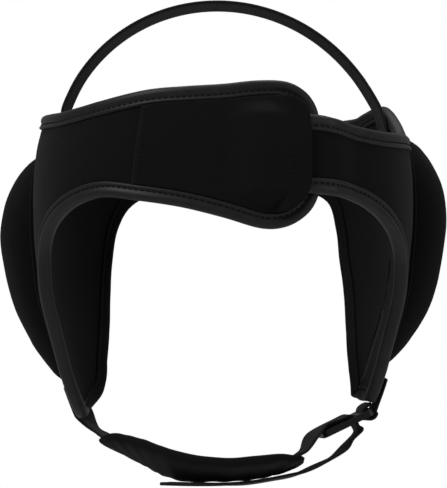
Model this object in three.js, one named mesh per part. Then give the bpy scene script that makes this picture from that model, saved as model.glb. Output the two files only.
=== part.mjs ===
// Wrestling ear guard as it sits on a head: two neoprene panels with taped edges, a closed
// front pocket, a padded cup over each ear, a crown strap, and a chin strap with a sleeve.
// Millimetres, +Z up, the face looks along -Y. The origin is the underside of the crown
// strap at its top. Left and right are as seen by someone who faces the wearer. Angles run
// round the head in degrees: 0 in front, 90 at the right cup.

import * as THREE from 'three';
import { mergeVertices } from 'three/addons/utils/BufferGeometryUtils.js';

// The head form that the panels follow, to the middle of the panel wall.
const shellHalfWidth = 89.5;
const shellFrontDepth = 98;
const shellRearDepth = 92;
const shellFrontSquareness = 2.6;
const shellRearSquareness = 2.3;
const guardDrop = 201; // crown seat to the lowest panel tip
const crownSetback = 22; // middle of the head form back to the crown strap

// Cloth, tape and webbing.
const clearance = 0.35; // between pieces that lie on each other
const seatClearance = 0.7; // under cups and sewn webbing, whose faces cut across the curve
const panelWall = 3.2;
const patchWall = 1.0;
const bindingWall = 0.8;
const bindingLeg = 7.0; // width of the tape on each face of a panel
const bindingFold = 1.0; // depth of the rounded fold outside the panel edge
const webbingWidth = 20;
const webbingWall = 1.6;

// Front closure.
const patchStartAngle = -22;
const bandEndAngle = 11.5; // end of the right band inside the pocket
const bandRampStart = 26; // the band leaves the tongue here
const bandRampEnd = 37;
const pocketRiseAngle = 9; // the patch climbs over the band end in this arc

// Ear cups.
const cupHalfHeight = 56;
const cupHalfWidth = 37;
const cupRise = 18.5;
const cupRim = 2.5;
const cupTaper = 0.3; // share by which the cup narrows downwards
const cupLean = 9; // its top lies this far behind its middle
const cupSetback = 20;
const leftCupDrop = 0.640; // middle of the cup, as a share of guardDrop
const rightCupDrop = 0.598;
const leftPeakLift = 15; // the highest point above the middle of the cup
const rightPeakLift = 20;

// Crown strap.
const crownSeam = 14; // length sewn inside each panel
const crownTilt = 8; // degrees, its rear edge lies lower
const crownLean = 2.8; // its arc leans this far to the left

// Chin strap and sleeve.
const chinHalfSpan = 0.7374 * shellHalfWidth;
const chinForward = 36;
const chinSag = 30; // the strap hangs about this far below the left panel's tip
const leftSeam = 13; // length of webbing sewn on the left tip
const leftSeamSetback = 13;
const sleeveHalfWidth = 16;
const sleeveWall = 1.5;
const sleeveSlotSpare = 1.5; // room beside the webbing inside the sleeve
const sleeveLeftScarf = 11; // the upper wall starts this far after the lower one
const sleeveRightScarf = 22; // and ends this far before it

// Strap adjuster: bars and slots in order from the tab bar to the lip.
const adjusterWidth = 26;
const adjusterWall = 3.2;
const adjusterCorner = 3;
const tabBar = 3;
const crossBar = 2.4;
const gripBar = 3;
const thumbSlot = 3;
const thumbLip = 9;
const slotSideSpare = 0.6;
const adjusterRun = new THREE.Vector3(-21, -3, -10); // direction towards the chin

// Webbing tab on the right tip.
const tabSeam = 12;
const tabReturn = 0.8; // the tab ends this far past the tab bar's outer edge
const tabSetback = -4;
const tabInward = 1.5; // the adjuster hangs this far inside the tab's sewn end
const tabDrop = 0; // free length between the tip and the adjuster

const panelHalf = panelWall / 2;
const bindingOuter = panelHalf + clearance + bindingWall;
const panelInset = bindingWall + clearance + bindingFold;
const overlapLift = 2 * bindingOuter + clearance;
const stripLift = bindingOuter + seatClearance + webbingWall / 2;
const seamAngle = 180 - THREE.MathUtils.radToDeg(clearance / 2 / shellRearDepth);

// Rows as objects, so that each number has the name of its column.
function table(columns, rows) {
  return rows.map((row) => Object.fromEntries(columns.map((name, i) => [name, row[i]])));
}

// The head form level by level, as shares of guardDrop and of the form's three sizes.
const shellLevels = table(['drop', 'side', 'front', 'rear'], [
  [0.20, 0.895, 0.97, 0.99],
  [0.26, 0.926, 0.98, 1.00],
  [0.30, 0.952, 0.99, 1.00],
  [0.36, 0.984, 1.00, 1.00],
  [0.44, 1.000, 1.00, 1.00],
  [0.54, 1.000, 1.00, 0.99],
  [0.62, 0.985, 1.00, 0.96],
  [0.70, 0.962, 0.99, 0.88],
  [0.80, 0.900, 0.97, 0.72],
  [0.88, 0.850, 0.95, 0.58],
  [0.94, 0.805, 0.93, 0.50],
  [1.00, 0.750, 0.90, 0.44],
  [1.10, 0.670, 0.86, 0.36],
]);

// Free edges from the tongue end back to the rear seam, drops as shares of guardDrop.
const leftEdges = table(['topAngle', 'topDrop', 'lowAngle', 'lowDrop'], [
  [25.8, 0.326, 25.8, 0.420],
  [25.1, 0.278, 25.1, 0.468],
  [22.4, 0.241, 22.4, 0.511],
  [17.2, 0.217, 17.2, 0.541],
  [9.5, 0.214, 10.3, 0.547],
  [0.0, 0.222, 0.0, 0.522],
  [-10.0, 0.227, -11.0, 0.499],
  [-20.0, 0.234, -22.4, 0.484],
  [-32.5, 0.255, -32.0, 0.476],
  [-41.0, 0.269, -40.6, 0.493],
  [-50.0, 0.278, -48.5, 0.525],
  [-58.0, 0.279, -55.5, 0.567],
  [-64.0, 0.279, -60.4, 0.614],
  [-69.0, 0.279, -63.0, 0.677],
  [-74.0, 0.278, -65.6, 0.741],
  [-79.0, 0.276, -68.5, 0.811],
  [-84.0, 0.274, -72.3, 0.878],
  [-89.0, 0.271, -76.5, 0.938],
  [-95.0, 0.269, -82.0, 0.984],
  [-101.0, 0.265, -89.5, 1.000],
  [-107.0, 0.262, -101.0, 0.989],
  [-113.0, 0.259, -112.0, 0.962],
  [-119.0, 0.258, -118.3, 0.925],
  [-125.0, 0.258, -123.8, 0.871],
  [-131.0, 0.258, -131.2, 0.799],
  [-137.0, 0.257, -137.7, 0.711],
  [-143.0, 0.256, -141.4, 0.627],
  [-149.0, 0.256, -144.5, 0.547],
  [-156.0, 0.255, -150.0, 0.484],
  [-165.0, 0.254, -160.5, 0.450],
  [-seamAngle, 0.254, -seamAngle, 0.443],
]);

// The same for the right panel, from the band end. A corner row stands twice.
const rightEdges = table(['topAngle', 'topDrop', 'lowAngle', 'lowDrop'], [
  [bandEndAngle, 0.328, bandEndAngle, 0.428],
  [bandEndAngle + 1, 0.301, bandEndAngle + 1, 0.455],
  [15.5, 0.292, 15.5, 0.466],
  [24.0, 0.297, 23.0, 0.469],
  [31.0, 0.306, 30.0, 0.476],
  [38.0, 0.316, 36.5, 0.489],
  [45.0, 0.323, 42.0, 0.509],
  [52.0, 0.325, 47.5, 0.535],
  [59.0, 0.325, 54.0, 0.575],
  [66.0, 0.325, 59.5, 0.622],
  [73.0, 0.326, 62.3, 0.677],
  [80.0, 0.326, 64.8, 0.734],
  [86.0, 0.322, 67.0, 0.799],
  [91.0, 0.311, 70.3, 0.861],
  [96.0, 0.289, 74.5, 0.920],
  [101.0, 0.269, 78.0, 0.958],
  [104.0, 0.258, 78.0, 0.958],
  [108.0, 0.247, 92.5, 0.959],
  [112.0, 0.241, 108.5, 0.958],
  [115.0, 0.241, 108.5, 0.958],
  [120.0, 0.244, 113.3, 0.918],
  [126.0, 0.253, 119.0, 0.871],
  [131.0, 0.263, 126.8, 0.796],
  [137.0, 0.267, 134.0, 0.711],
  [143.0, 0.268, 138.9, 0.627],
  [149.0, 0.268, 141.4, 0.547],
  [156.0, 0.263, 145.2, 0.474],
  [165.0, 0.257, 156.0, 0.447],
  [seamAngle, 0.254, seamAngle, 0.443],
]);
const frontCornerRow = 15;
const rearCornerRow = 19;
const rightTipZ = -rightEdges[frontCornerRow].lowDrop * guardDrop;

// Middle of the chin strap, as shares of chinHalfSpan, of chinForward and, below the left
// tip, of chinSag. The tilt in degrees raises the front edge.
const chinColumns = ['across', 'forward', 'sag', 'tilt'];
const leftApproach = table(chinColumns, [
  [-1.000, -0.30, 0.125, -5],
  [-0.910, -0.12, 0.240, -3],
  [-0.842, 0.07, 0.342, 1],
  [-0.785, 0.22, 0.402, 6],
]);
const sleeveRows = table(chinColumns, [
  [-0.765, 0.28, 0.438, 11],
  [-0.687, 0.42, 0.467, 15],
  [-0.607, 0.55, 0.513, 17],
  [-0.520, 0.67, 0.572, 21],
  [-0.409, 0.79, 0.651, 23],
  [-0.227, 0.93, 0.725, 22],
  [0.000, 1.00, 0.750, 18],
  [0.227, 0.94, 0.728, 18],
  [0.395, 0.81, 0.686, 14],
  [0.438, 0.76, 0.681, 14],
  [0.480, 0.71, 0.677, 12],
]);
const sleeveSharedFrom = 1; // rows of the sleeve that the webbing follows
const sleeveSharedTo = 7;
const rightApproach = table(chinColumns, [
  [0.409, 0.80, 0.669, 12],
  [0.470, 0.72, 0.632, 9],
  [0.553, 0.61, 0.539, -2],
  [0.636, 0.49, 0.352, -2],
]);
const tailRows = table(chinColumns, [
  [0.910, 0.20, 0.400, 0],
  [0.838, 0.32, 0.567, 2],
  [0.706, 0.50, 0.700, 3],
  [0.561, 0.65, 0.835, 5],
  [0.409, 0.79, 0.895, 7],
  [0.192, 0.93, 0.960, 7],
  [0.000, 0.97, 0.980, 5],
  [-0.197, 0.94, 0.985, 4],
  [-0.409, 0.83, 0.985, 4],
]);

// Smooth step from 0 to 1.
function ease(t) {
  const s = THREE.MathUtils.clamp(t, 0, 1);
  return s * s * (3 - 2 * s);
}

function cubic(a, b, c, d, t) {
  const linear = c - a;
  const square = 2 * a - 5 * b + 4 * c - d;
  const cube = d - a + 3 * (b - c);
  return b + 0.5 * t * (linear + t * (square + t * cube));
}

// A row between the rows of a table. Place 2.5 lies halfway from row 2 to row 3.
function rowAt(rows, place) {
  const start = THREE.MathUtils.clamp(Math.floor(place), 0, rows.length - 2);
  const near = [-1, 0, 1, 2].map((step) => {
    const index = THREE.MathUtils.clamp(start + step, 0, rows.length - 1);
    return rows[index];
  });
  const names = Object.keys(rows[0]);
  return Object.fromEntries(names.map((name) => {
    const [a, b, c, d] = near.map((row) => row[name]);
    return [name, cubic(a, b, c, d, place - start)];
  }));
}

// The row where a steadily rising or falling column reaches a value.
function rowWhere(rows, name, value) {
  const falling = rows[0][name] > rows[rows.length - 1][name];
  const sign = falling ? -1 : 1;
  let start = 0;
  while (start < rows.length - 2 && sign * rows[start + 1][name] < sign * value) {
    start += 1;
  }
  const step = rows[start + 1][name] - rows[start][name];
  return rowAt(rows, start + (value - rows[start][name]) / step);
}

// Half-sizes of the head form at a height.
function shellAt(z) {
  const level = rowWhere(shellLevels, 'drop', -z / guardDrop);
  return {
    side: level.side * shellHalfWidth,
    front: level.front * shellFrontDepth,
    rear: level.rear * shellRearDepth,
  };
}

// A spot is a place on the head form: an angle in degrees and a height.
function shellMiddle(spot) {
  const form = shellAt(spot.z);
  const turn = THREE.MathUtils.degToRad(spot.angle);
  const isFront = Math.cos(turn) > 0;
  const depth = isFront ? form.front : form.rear;
  const power = isFront ? shellFrontSquareness : shellRearSquareness;
  const across = Math.abs(Math.sin(turn)) / form.side;
  const along = Math.abs(Math.cos(turn)) / depth;
  const radius = (across ** power + along ** power) ** (-1 / power);
  return new THREE.Vector3(radius * Math.sin(turn), -radius * Math.cos(turn), spot.z);
}

// Directions on the head form: around for one degree, up for one millimetre, and out.
function shellAxes(spot) {
  const step = 0.25;
  const around = shellMiddle({ angle: spot.angle + step, z: spot.z })
    .sub(shellMiddle({ angle: spot.angle - step, z: spot.z }))
    .divideScalar(2 * step);
  const up = shellMiddle({ angle: spot.angle, z: spot.z + step })
    .sub(shellMiddle({ angle: spot.angle, z: spot.z - step }))
    .divideScalar(2 * step);
  const out = new THREE.Vector3().crossVectors(around, up).normalize();
  return { around, up, out };
}

function shellPoint(spot, lift) {
  return shellMiddle(spot).addScaledVector(shellAxes(spot).out, lift);
}

// The spot that lies a short way along a direction.
function slide(spot, direction, distance) {
  const { around, up } = shellAxes(spot);
  const a = around.dot(around);
  const b = around.dot(up);
  const c = up.dot(up);
  const p = around.dot(direction) * distance;
  const q = up.dot(direction) * distance;
  const scale = a * c - b * b;
  return {
    angle: spot.angle + (p * c - q * b) / scale,
    z: spot.z + (q * a - p * b) / scale,
  };
}

// The spot at a distance behind the middle of the form, on side 1 (right) or -1 (left).
function spotBehind(side, setback, z) {
  const form = shellAt(z);
  const depth = setback < 0 ? form.front : form.rear;
  const power = setback < 0 ? shellFrontSquareness : shellRearSquareness;
  const share = Math.abs(setback) / depth;
  const across = form.side * (1 - share ** power) ** (1 / power);
  const angle = THREE.MathUtils.radToDeg(Math.atan2(across, -setback));
  return { angle: side * angle, z };
}

// The right band lies on the tongue in front and comes down to the head form beside it.
function rightLift(angle) {
  return overlapLift * (1 - ease((angle - bandRampStart) / (bandRampEnd - bandRampStart)));
}

const noLift = () => 0;

// One closed body from two grids of points: its two faces, and walls round their rims.
function slab(upper, lower, { ringAlong = false, ringAcross = false } = {}) {
  const corners = [];
  const last = upper.length - 1;
  const edge = upper[0].length - 1;
  const quad = (a, b, c, d) => corners.push(a, b, c, a, c, d);
  const nextRow = (i) => (ringAlong ? (i + 1) % (last + 1) : i + 1);
  const nextColumn = (j) => (ringAcross ? (j + 1) % (edge + 1) : j + 1);
  for (let i = 0; i < (ringAlong ? last + 1 : last); i += 1) {
    const k = nextRow(i);
    for (let j = 0; j < (ringAcross ? edge + 1 : edge); j += 1) {
      const m = nextColumn(j);
      quad(upper[i][j], upper[k][j], upper[k][m], upper[i][m]);
      quad(lower[i][j], lower[i][m], lower[k][m], lower[k][j]);
    }
    if (!ringAcross) {
      quad(upper[i][0], lower[i][0], lower[k][0], upper[k][0]);
      quad(upper[i][edge], upper[k][edge], lower[k][edge], lower[i][edge]);
    }
  }
  if (!ringAlong) {
    for (let j = 0; j < (ringAcross ? edge + 1 : edge); j += 1) {
      const m = nextColumn(j);
      quad(upper[0][j], upper[0][m], lower[0][m], lower[0][j]);
      quad(upper[last][j], lower[last][j], lower[last][m], upper[last][m]);
    }
  }
  return closedBody(corners);
}

// Drops the triangles that a grid closes to nothing and turns the faces outwards.
function closedBody(corners) {
  const kept = [];
  let volume = 0;
  const nothing = 1e-4;
  for (let i = 0; i < corners.length; i += 3) {
    const [a, b, c] = corners.slice(i, i + 3);
    const flat = Math.min(a.distanceTo(b), b.distanceTo(c), c.distanceTo(a)) < nothing;
    if (!flat) {
      kept.push([a, b, c]);
      volume += a.dot(new THREE.Vector3().crossVectors(b, c));
    }
  }
  const positions = kept.flatMap(([a, b, c]) => {
    const order = volume > 0 ? [a, b, c] : [a, c, b];
    return order.flatMap((point) => point.toArray());
  });
  const geometry = new THREE.BufferGeometry();
  geometry.setAttribute('position', new THREE.Float32BufferAttribute(positions, 3));
  const merged = mergeVertices(geometry, nothing);
  merged.computeVertexNormals();
  return merged;
}

// Places in a table of edges, half a row apart, with none inside a doubled corner row.
function edgePlaces(rows) {
  const places = Array.from({ length: 2 * rows.length - 1 }, (unused, i) => i / 2);
  return places.filter((place) => {
    const before = rows[Math.floor(place)];
    const after = rows[Math.ceil(place)];
    const sameCorner = before.lowAngle === after.lowAngle && before.lowDrop === after.lowDrop;
    return Number.isInteger(place) || !sameCorner;
  });
}

function topSpot(rows, place) {
  const row = rowAt(rows, place);
  return { angle: row.topAngle, z: -row.topDrop * guardDrop };
}

function lowSpot(rows, place) {
  const row = rowAt(rows, place);
  return { angle: row.lowAngle, z: -row.lowDrop * guardDrop };
}

function mixSpots(a, b, t) {
  return {
    angle: THREE.MathUtils.lerp(a.angle, b.angle, t),
    z: THREE.MathUtils.lerp(a.z, b.z, t),
  };
}

// The free edge of a panel as one chain that keeps the panel on the same side: the left
// one runs along the top to the tongue and back below, the right one the other way.
function edgeChain(rows, side) {
  const places = edgePlaces(rows);
  const top = places.map((place) => topSpot(rows, place));
  const low = places.map((place) => lowSpot(rows, place));
  const end = [1 / 3, 2 / 3].map((t) => mixSpots(top[0], low[0], t));
  if (side < 0) {
    return [...top.reverse(), ...end, ...low];
  }
  return [...low.reverse(), ...end.reverse(), ...top];
}

// Direction from each spot of a chain into the panel, longer at a corner so that a line
// moved by it keeps its distance from both sides of the corner.
function inwardAlong(chain) {
  const points = chain.map(shellMiddle);
  const apart = 0.05;
  const stepFrom = (i, direction) => {
    let k = i + direction;
    while (k >= 0 && k < points.length && points[k].distanceTo(points[i]) < apart) {
      k += direction;
    }
    if (k < 0 || k >= points.length) {
      return null;
    }
    return points[k].clone().sub(points[i]).multiplyScalar(direction).normalize();
  };
  return chain.map((spot, i) => {
    const { out } = shellAxes(spot);
    const after = stepFrom(i, 1);
    const before = stepFrom(i, -1);
    const first = new THREE.Vector3().crossVectors(before ?? after, out).normalize();
    const second = new THREE.Vector3().crossVectors(after ?? before, out).normalize();
    return first.clone().add(second).divideScalar(1 + first.dot(second));
  });
}

function insetChain(chain, distance) {
  const inward = inwardAlong(chain);
  return chain.map((spot, i) => slide(spot, inward[i], distance));
}

// The inset edges again as two rows of spots that face each other, front end first.
function facingEdges(rows, side, distance) {
  const chain = insetChain(edgeChain(rows, side), distance);
  const count = edgePlaces(rows).length;
  const first = chain.slice(0, count);
  const second = chain.slice(-count);
  return side < 0
    ? { top: first.reverse(), low: second }
    : { top: second, low: first.reverse() };
}

// A neoprene panel: a rim as wide as the tape round a field between the two edges.
function panelBody(rows, side, liftAt) {
  const rim = facingEdges(rows, side, panelInset);
  const field = facingEdges(rows, side, bindingLeg);
  const shares = [0, 0.18, 0.45, 0.75, 1];
  const acrossAt = (edges, i) => shares.map((t) => mixSpots(edges.top[i], edges.low[i], t));
  const columns = rim.top.map((upper, i) => [upper, ...acrossAt(field, i), rim.low[i]]);
  const endColumn = [rim.top[0], ...acrossAt(rim, 0), rim.low[0]];
  const face = (lift) => [endColumn, ...columns].map((column) => {
    return column.map((spot) => shellPoint(spot, liftAt(spot.angle) + lift));
  });
  return slab(face(panelHalf), face(-panelHalf));
}

// Section of the edge tape: how far in from the free edge, and how far off the middle.
function tapeSection() {
  const inner = bindingOuter - bindingWall;
  const seat = panelInset - clearance;
  return {
    outside: [
      [bindingLeg, bindingOuter],
      [bindingFold, bindingOuter],
      [0, 0],
      [bindingFold, -bindingOuter],
      [bindingLeg, -bindingOuter],
    ],
    inside: [
      [bindingLeg, inner],
      [seat, inner],
      [bindingWall, 0],
      [seat, -inner],
      [bindingLeg, -inner],
    ],
  };
}

// Edge tape folded over a stretch of a panel's edge.
function tapeBody(chain, liftAt) {
  const inward = inwardAlong(chain);
  const section = tapeSection();
  const face = (line) => chain.map((spot, i) => line.map(([inset, lift]) => {
    const place = slide(spot, inward[i], inset);
    return shellPoint(place, liftAt(place.angle) + lift);
  }));
  return slab(face(section.outside), face(section.inside));
}

// The hem across the square tip lies between the tapes that end at its two corners.
function tipHemChain() {
  const reach = bindingLeg + clearance;
  const rear = lowSpot(rightEdges, rearCornerRow);
  const front = lowSpot(rightEdges, frontCornerRow);
  const run = shellMiddle(front).sub(shellMiddle(rear)).normalize();
  const start = slide(rear, run, reach);
  const end = slide(front, run, -reach);
  const steps = 4;
  return Array.from({ length: steps + 1 }, (unused, i) => mixSpots(start, end, i / steps));
}

// The pocket face: sewn to the tongue along the tape, lifted over the band end.
function patchBody() {
  const spans = 6;
  const { top, low } = facingEdges(leftEdges, -1, bindingLeg + clearance);
  const count = top.findIndex((spot) => spot.angle < patchStartAngle);
  const sewnLift = panelHalf + clearance + patchWall / 2;
  const openLift = overlapLift + bindingOuter + clearance + patchWall / 2;
  const fullAt = bandEndAngle - 2;
  const cornerFrom = bandEndAngle + 1;
  const cornerArc = 4;
  const edgeRamp = 0.19; // share of the patch height in which it climbs from its seam
  const liftAt = (angle, t) => {
    const along = ease((angle - fullAt) / pocketRiseAngle + 1);
    const across = ease(t / edgeRamp) * ease((1 - t) / edgeRamp);
    const corner = ease((angle - cornerFrom) / cornerArc);
    return THREE.MathUtils.lerp(sewnLift, openLift, along * Math.max(across, corner));
  };
  const face = (lift) => top.slice(0, count).map((upper, i) => {
    return Array.from({ length: spans + 1 }, (unused, j) => {
      const spot = mixSpots(upper, low[i], j / spans);
      return shellPoint(spot, liftAt(spot.angle, j / spans) + lift);
    });
  });
  return slab(face(patchWall / 2), face(-patchWall / 2));
}

// A padded dome on the outside of a panel, highest above its middle.
function cupBody(side, drop, peakLift) {
  const spokes = 24;
  const rings = [1, 0.9, 0.72, 0.5, 0.25, 0];
  const seat = panelHalf + seatClearance;
  const spotAt = (ring, spoke) => {
    const turn = (2 * Math.PI * spoke) / spokes;
    const width = cupHalfWidth * (1 + cupTaper * Math.sin(turn));
    const setback = cupSetback + ring * (cupLean * Math.sin(turn) + width * Math.cos(turn));
    const height = (1 - ring) * peakLift + ring * cupHalfHeight * Math.sin(turn);
    return spotBehind(side, setback, height - drop * guardDrop);
  };
  const face = (liftOf) => Array.from({ length: spokes }, (unused, spoke) => {
    return rings.map((ring) => shellPoint(spotAt(ring, spoke), liftOf(ring)));
  });
  const dome = (ring) => seat + cupRim + (cupRise - cupRim) * (1 - ring ** 2);
  return slab(face(dome), face(() => seat), { ringAlong: true });
}

// A stop on a strap's way: its middle and, roughly, the direction across the strap.
function stopAt(middle, across) {
  return { middle, across };
}

function rowStop(row) {
  const tilt = THREE.MathUtils.degToRad(row.tilt);
  const middle = new THREE.Vector3(
    row.across * chinHalfSpan,
    -row.forward * chinForward,
    -guardDrop - row.sag * chinSag,
  );
  return stopAt(middle, new THREE.Vector3(0, Math.cos(tilt), -Math.sin(tilt)));
}

// A stop sewn to the head form, whose edges follow the form.
function sewnStop(side, setback, z, lift) {
  const spot = spotBehind(side, setback, z);
  const rearward = shellAxes(spot).around.multiplyScalar(side).normalize();
  const across = [-0.5, 0, 0.5].map((share) => {
    return shellPoint(slide(spot, rearward, share * webbingWidth), lift);
  });
  return { middle: across[1], across: rearward, edges: across };
}

// Three points across the strap at each stop, from its front edge to its rear edge.
function strapGrid(stops) {
  return stops.map((stop, i) => {
    if (stop.edges) {
      return stop.edges;
    }
    const before = stops[Math.max(i - 1, 0)].middle;
    const after = stops[Math.min(i + 1, stops.length - 1)].middle;
    const run = after.clone().sub(before).normalize();
    const across = stop.across.clone();
    across.addScaledVector(run, -across.dot(run)).normalize();
    return [-0.5, 0, 0.5].map((share) => {
      return stop.middle.clone().addScaledVector(across, share * webbingWidth);
    });
  });
}

// The grid with one more stop, on a smooth curve, between each two.
function halvedGrid(grid) {
  const places = Array.from({ length: 2 * grid.length - 1 }, (unused, i) => i / 2);
  const rows = grid.map((line) => Object.fromEntries(
    line.flatMap((point, j) => point.toArray().map((value, k) => [`${j}${k}`, value])),
  ));
  return places.map((place) => {
    const row = rowAt(rows, place);
    return grid[0].map((point, j) => new THREE.Vector3(row[`${j}0`], row[`${j}1`], row[`${j}2`]));
  });
}

// Unit normals of a grid of points.
function gridNormals(grid) {
  return grid.map((line, i) => line.map((point, j) => {
    const ahead = grid[Math.min(i + 1, grid.length - 1)][j];
    const behind = grid[Math.max(i - 1, 0)][j];
    const run = ahead.clone().sub(behind);
    const across = line[Math.min(j + 1, line.length - 1)].clone();
    across.sub(line[Math.max(j - 1, 0)]);
    return run.cross(across).normalize();
  }));
}

function strapBody(stops) {
  const grid = halvedGrid(strapGrid(stops));
  const normals = gridNormals(grid);
  const face = (lift) => grid.map((line, i) => {
    return line.map((point, j) => point.clone().addScaledVector(normals[i][j], lift));
  });
  return slab(face(webbingWall / 2), face(-webbingWall / 2));
}

// Half of the crown strap: from its sewn end inside a panel up an arc to the top.
function crownHalf(side, rows) {
  const guess = side * 104;
  const edgeZ = -rowWhere(rows, 'topAngle', guess).topDrop * guardDrop;
  const sewn = [1, 0.5, 0.1].map((share) => {
    return sewnStop(side, crownSetback, edgeZ - share * crownSeam, -stripLift);
  });
  const start = shellPoint(spotBehind(side, crownSetback, edgeZ), -stripLift);
  const halfSpan = Math.abs(start.x);
  const rise = webbingWall / 2 - edgeZ;
  const radius = (halfSpan ** 2 + rise ** 2) / (2 * rise);
  const reach = Math.asin(halfSpan / radius);
  const tilt = THREE.MathUtils.degToRad(crownTilt);
  const steps = 7;
  const arc = Array.from({ length: steps }, (unused, i) => {
    const turn = reach * (1 - (i + 0.25) / (steps + 0.25 - 1)) * side;
    const outward = new THREE.Vector3(Math.sin(turn), 0, Math.cos(turn));
    const middle = new THREE.Vector3(0, crownSetback, webbingWall / 2 - radius);
    middle.addScaledVector(outward, radius);
    const share = (Math.cos(turn) - Math.cos(reach)) / (1 - Math.cos(reach));
    middle.x -= crownLean * Math.sqrt(share);
    const across = new THREE.Vector3(0, Math.cos(tilt), 0);
    return stopAt(middle, across.addScaledVector(outward, -Math.sin(tilt)));
  });
  return [...sewn, ...arc];
}

function crownStrapBody() {
  const left = crownHalf(-1, leftEdges);
  const right = crownHalf(1, rightEdges).slice(0, -1).reverse();
  return strapBody([...left, ...right]);
}

// Axes of the adjuster: run towards the chin, across the strap, and out from the jaw.
function adjusterAxes() {
  const run = adjusterRun.clone().normalize();
  const across = new THREE.Vector3(0, 1, 0);
  across.addScaledVector(run, -across.dot(run)).normalize();
  const out = new THREE.Vector3().crossVectors(run, across).normalize();
  return { run, across, out };
}

// Middle of the tab bar's outer edge: the bar hangs in the tab just below the right tip.
function adjusterPlace() {
  const { run } = adjusterAxes();
  const tip = sewnStop(1, tabSetback, rightTipZ, stripLift).middle;
  const drop = tabBend + webbingWall / 2 + tabDrop;
  tip.add(new THREE.Vector3(-tabBend - tabInward, 0, -drop));
  return tip.addScaledVector(run, -tabBar / 2);
}

// A stop beside the adjuster, by its distance along the plate and out from its middle.
function adjusterStop(along, outward) {
  const { run, across, out } = adjusterAxes();
  const middle = adjusterPlace().addScaledVector(run, along);
  return stopAt(middle.addScaledVector(out, outward), across);
}

// Radii of the webbing round the bars, and the slots that leave room for it.
const barBend = adjusterWall / 2 + clearance + webbingWall / 2;
const tabBend = Math.hypot(tabBar / 2, adjusterWall / 2) + clearance + webbingWall / 2;
const tabSlot = tabBend + webbingWall / 2 + clearance - tabBar / 2;
const strapSlot = barBend + webbingWall / 2 + clearance;
const strapSlotStart = tabBar + tabSlot + crossBar;
const gripBarStart = strapSlotStart + strapSlot;
const thumbSlotStart = gripBarStart + gripBar;
const adjusterLength = thumbSlotStart + thumbSlot + thumbLip;

// Webbing from the left tip through the sleeve and the adjuster to the free tail.
function chinStrapStops() {
  const edgeZ = -rowWhere(leftEdges, 'lowAngle', -102).lowDrop * guardDrop;
  const sewn = [1, 0.5, 0.05].map((share) => {
    return sewnStop(-1, leftSeamSetback, edgeZ + share * leftSeam, stripLift);
  });
  const shared = sleeveRows.slice(sleeveSharedFrom, sleeveSharedTo + 1);
  const free = [...leftApproach, ...shared, ...rightApproach].map(rowStop);
  const beside = [adjusterLength, gripBarStart + gripBar].map((along) => {
    return adjusterStop(along, -barBend);
  });
  const round = [0, 30, 60, 90].map((degrees) => {
    const turn = THREE.MathUtils.degToRad(degrees);
    const along = gripBarStart - barBend * Math.sin(turn);
    return adjusterStop(along, -barBend * Math.cos(turn));
  });
  const leaving = [1.3, 2.4].map((bends) => {
    return adjusterStop(gripBarStart - barBend, bends * barBend);
  });
  return [...sewn, ...free, ...beside, ...round, ...leaving, ...tailRows.map(rowStop)];
}

// The tab comes down over the right tip, goes round the tab bar and ends behind itself.
function tabStops() {
  const sewn = [1, 0.5, 0.05].map((share) => {
    return sewnStop(1, tabSetback, rightTipZ + share * tabSeam, stripLift);
  });
  const round = [-90, -50, -10, 35, 90, 135, 180].map((degrees) => {
    const turn = THREE.MathUtils.degToRad(degrees);
    const along = tabBar / 2 + tabBend * Math.sin(turn);
    return adjusterStop(along, tabBend * Math.cos(turn));
  });
  const end = adjusterStop(-tabReturn, -tabBend);
  return [...sewn, ...round, end];
}

// Unit run of the sleeve at a place between its rows.
function sleeveRunAt(place) {
  const step = 0.1;
  const ahead = rowStop(rowAt(sleeveRows, place + step)).middle;
  return ahead.sub(rowStop(rowAt(sleeveRows, place - step)).middle).normalize();
}

// A flat oval tube round the webbing, whose upper wall ends short of the lower one.
function sleeveBody() {
  const around = 12;
  const steps = 12;
  const lastPlace = sleeveRows.length - 1;
  const start = rowStop(sleeveRows[0]).middle;
  const rowLength = start.distanceTo(rowStop(sleeveRows[1]).middle);
  const slotHalf = webbingWall / 2 + 2 * clearance;
  const outerHalf = slotHalf + sleeveWall;
  const oval = (halfWidth, halfHeight, power) => {
    return Array.from({ length: around }, (unused, k) => {
      const turn = (2 * Math.PI * k) / around;
      const bow = (value) => Math.sign(value) * Math.abs(value) ** (2 / power);
      return [halfWidth * bow(Math.cos(turn)), halfHeight * bow(Math.sin(turn))];
    });
  };
  const outer = oval(sleeveHalfWidth, outerHalf, 4);
  const inner = oval(webbingWidth / 2 + sleeveSlotSpare, slotHalf, 8);
  const face = (section) => Array.from({ length: steps + 1 }, (unused, i) => {
    return section.map(([across, up]) => {
      const share = (up / outerHalf + 1) / 2 / rowLength;
      const from = sleeveLeftScarf * share;
      const place = THREE.MathUtils.lerp(from, lastPlace - sleeveRightScarf * share, i / steps);
      const stop = rowStop(rowAt(sleeveRows, place));
      const run = sleeveRunAt(place);
      const width = stop.across.addScaledVector(run, -stop.across.dot(run)).normalize();
      const above = new THREE.Vector3().crossVectors(run, width);
      return stop.middle.addScaledVector(width, across).addScaledVector(above, up);
    });
  });
  return slab(face(outer), face(inner), { ringAcross: true });
}

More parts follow.
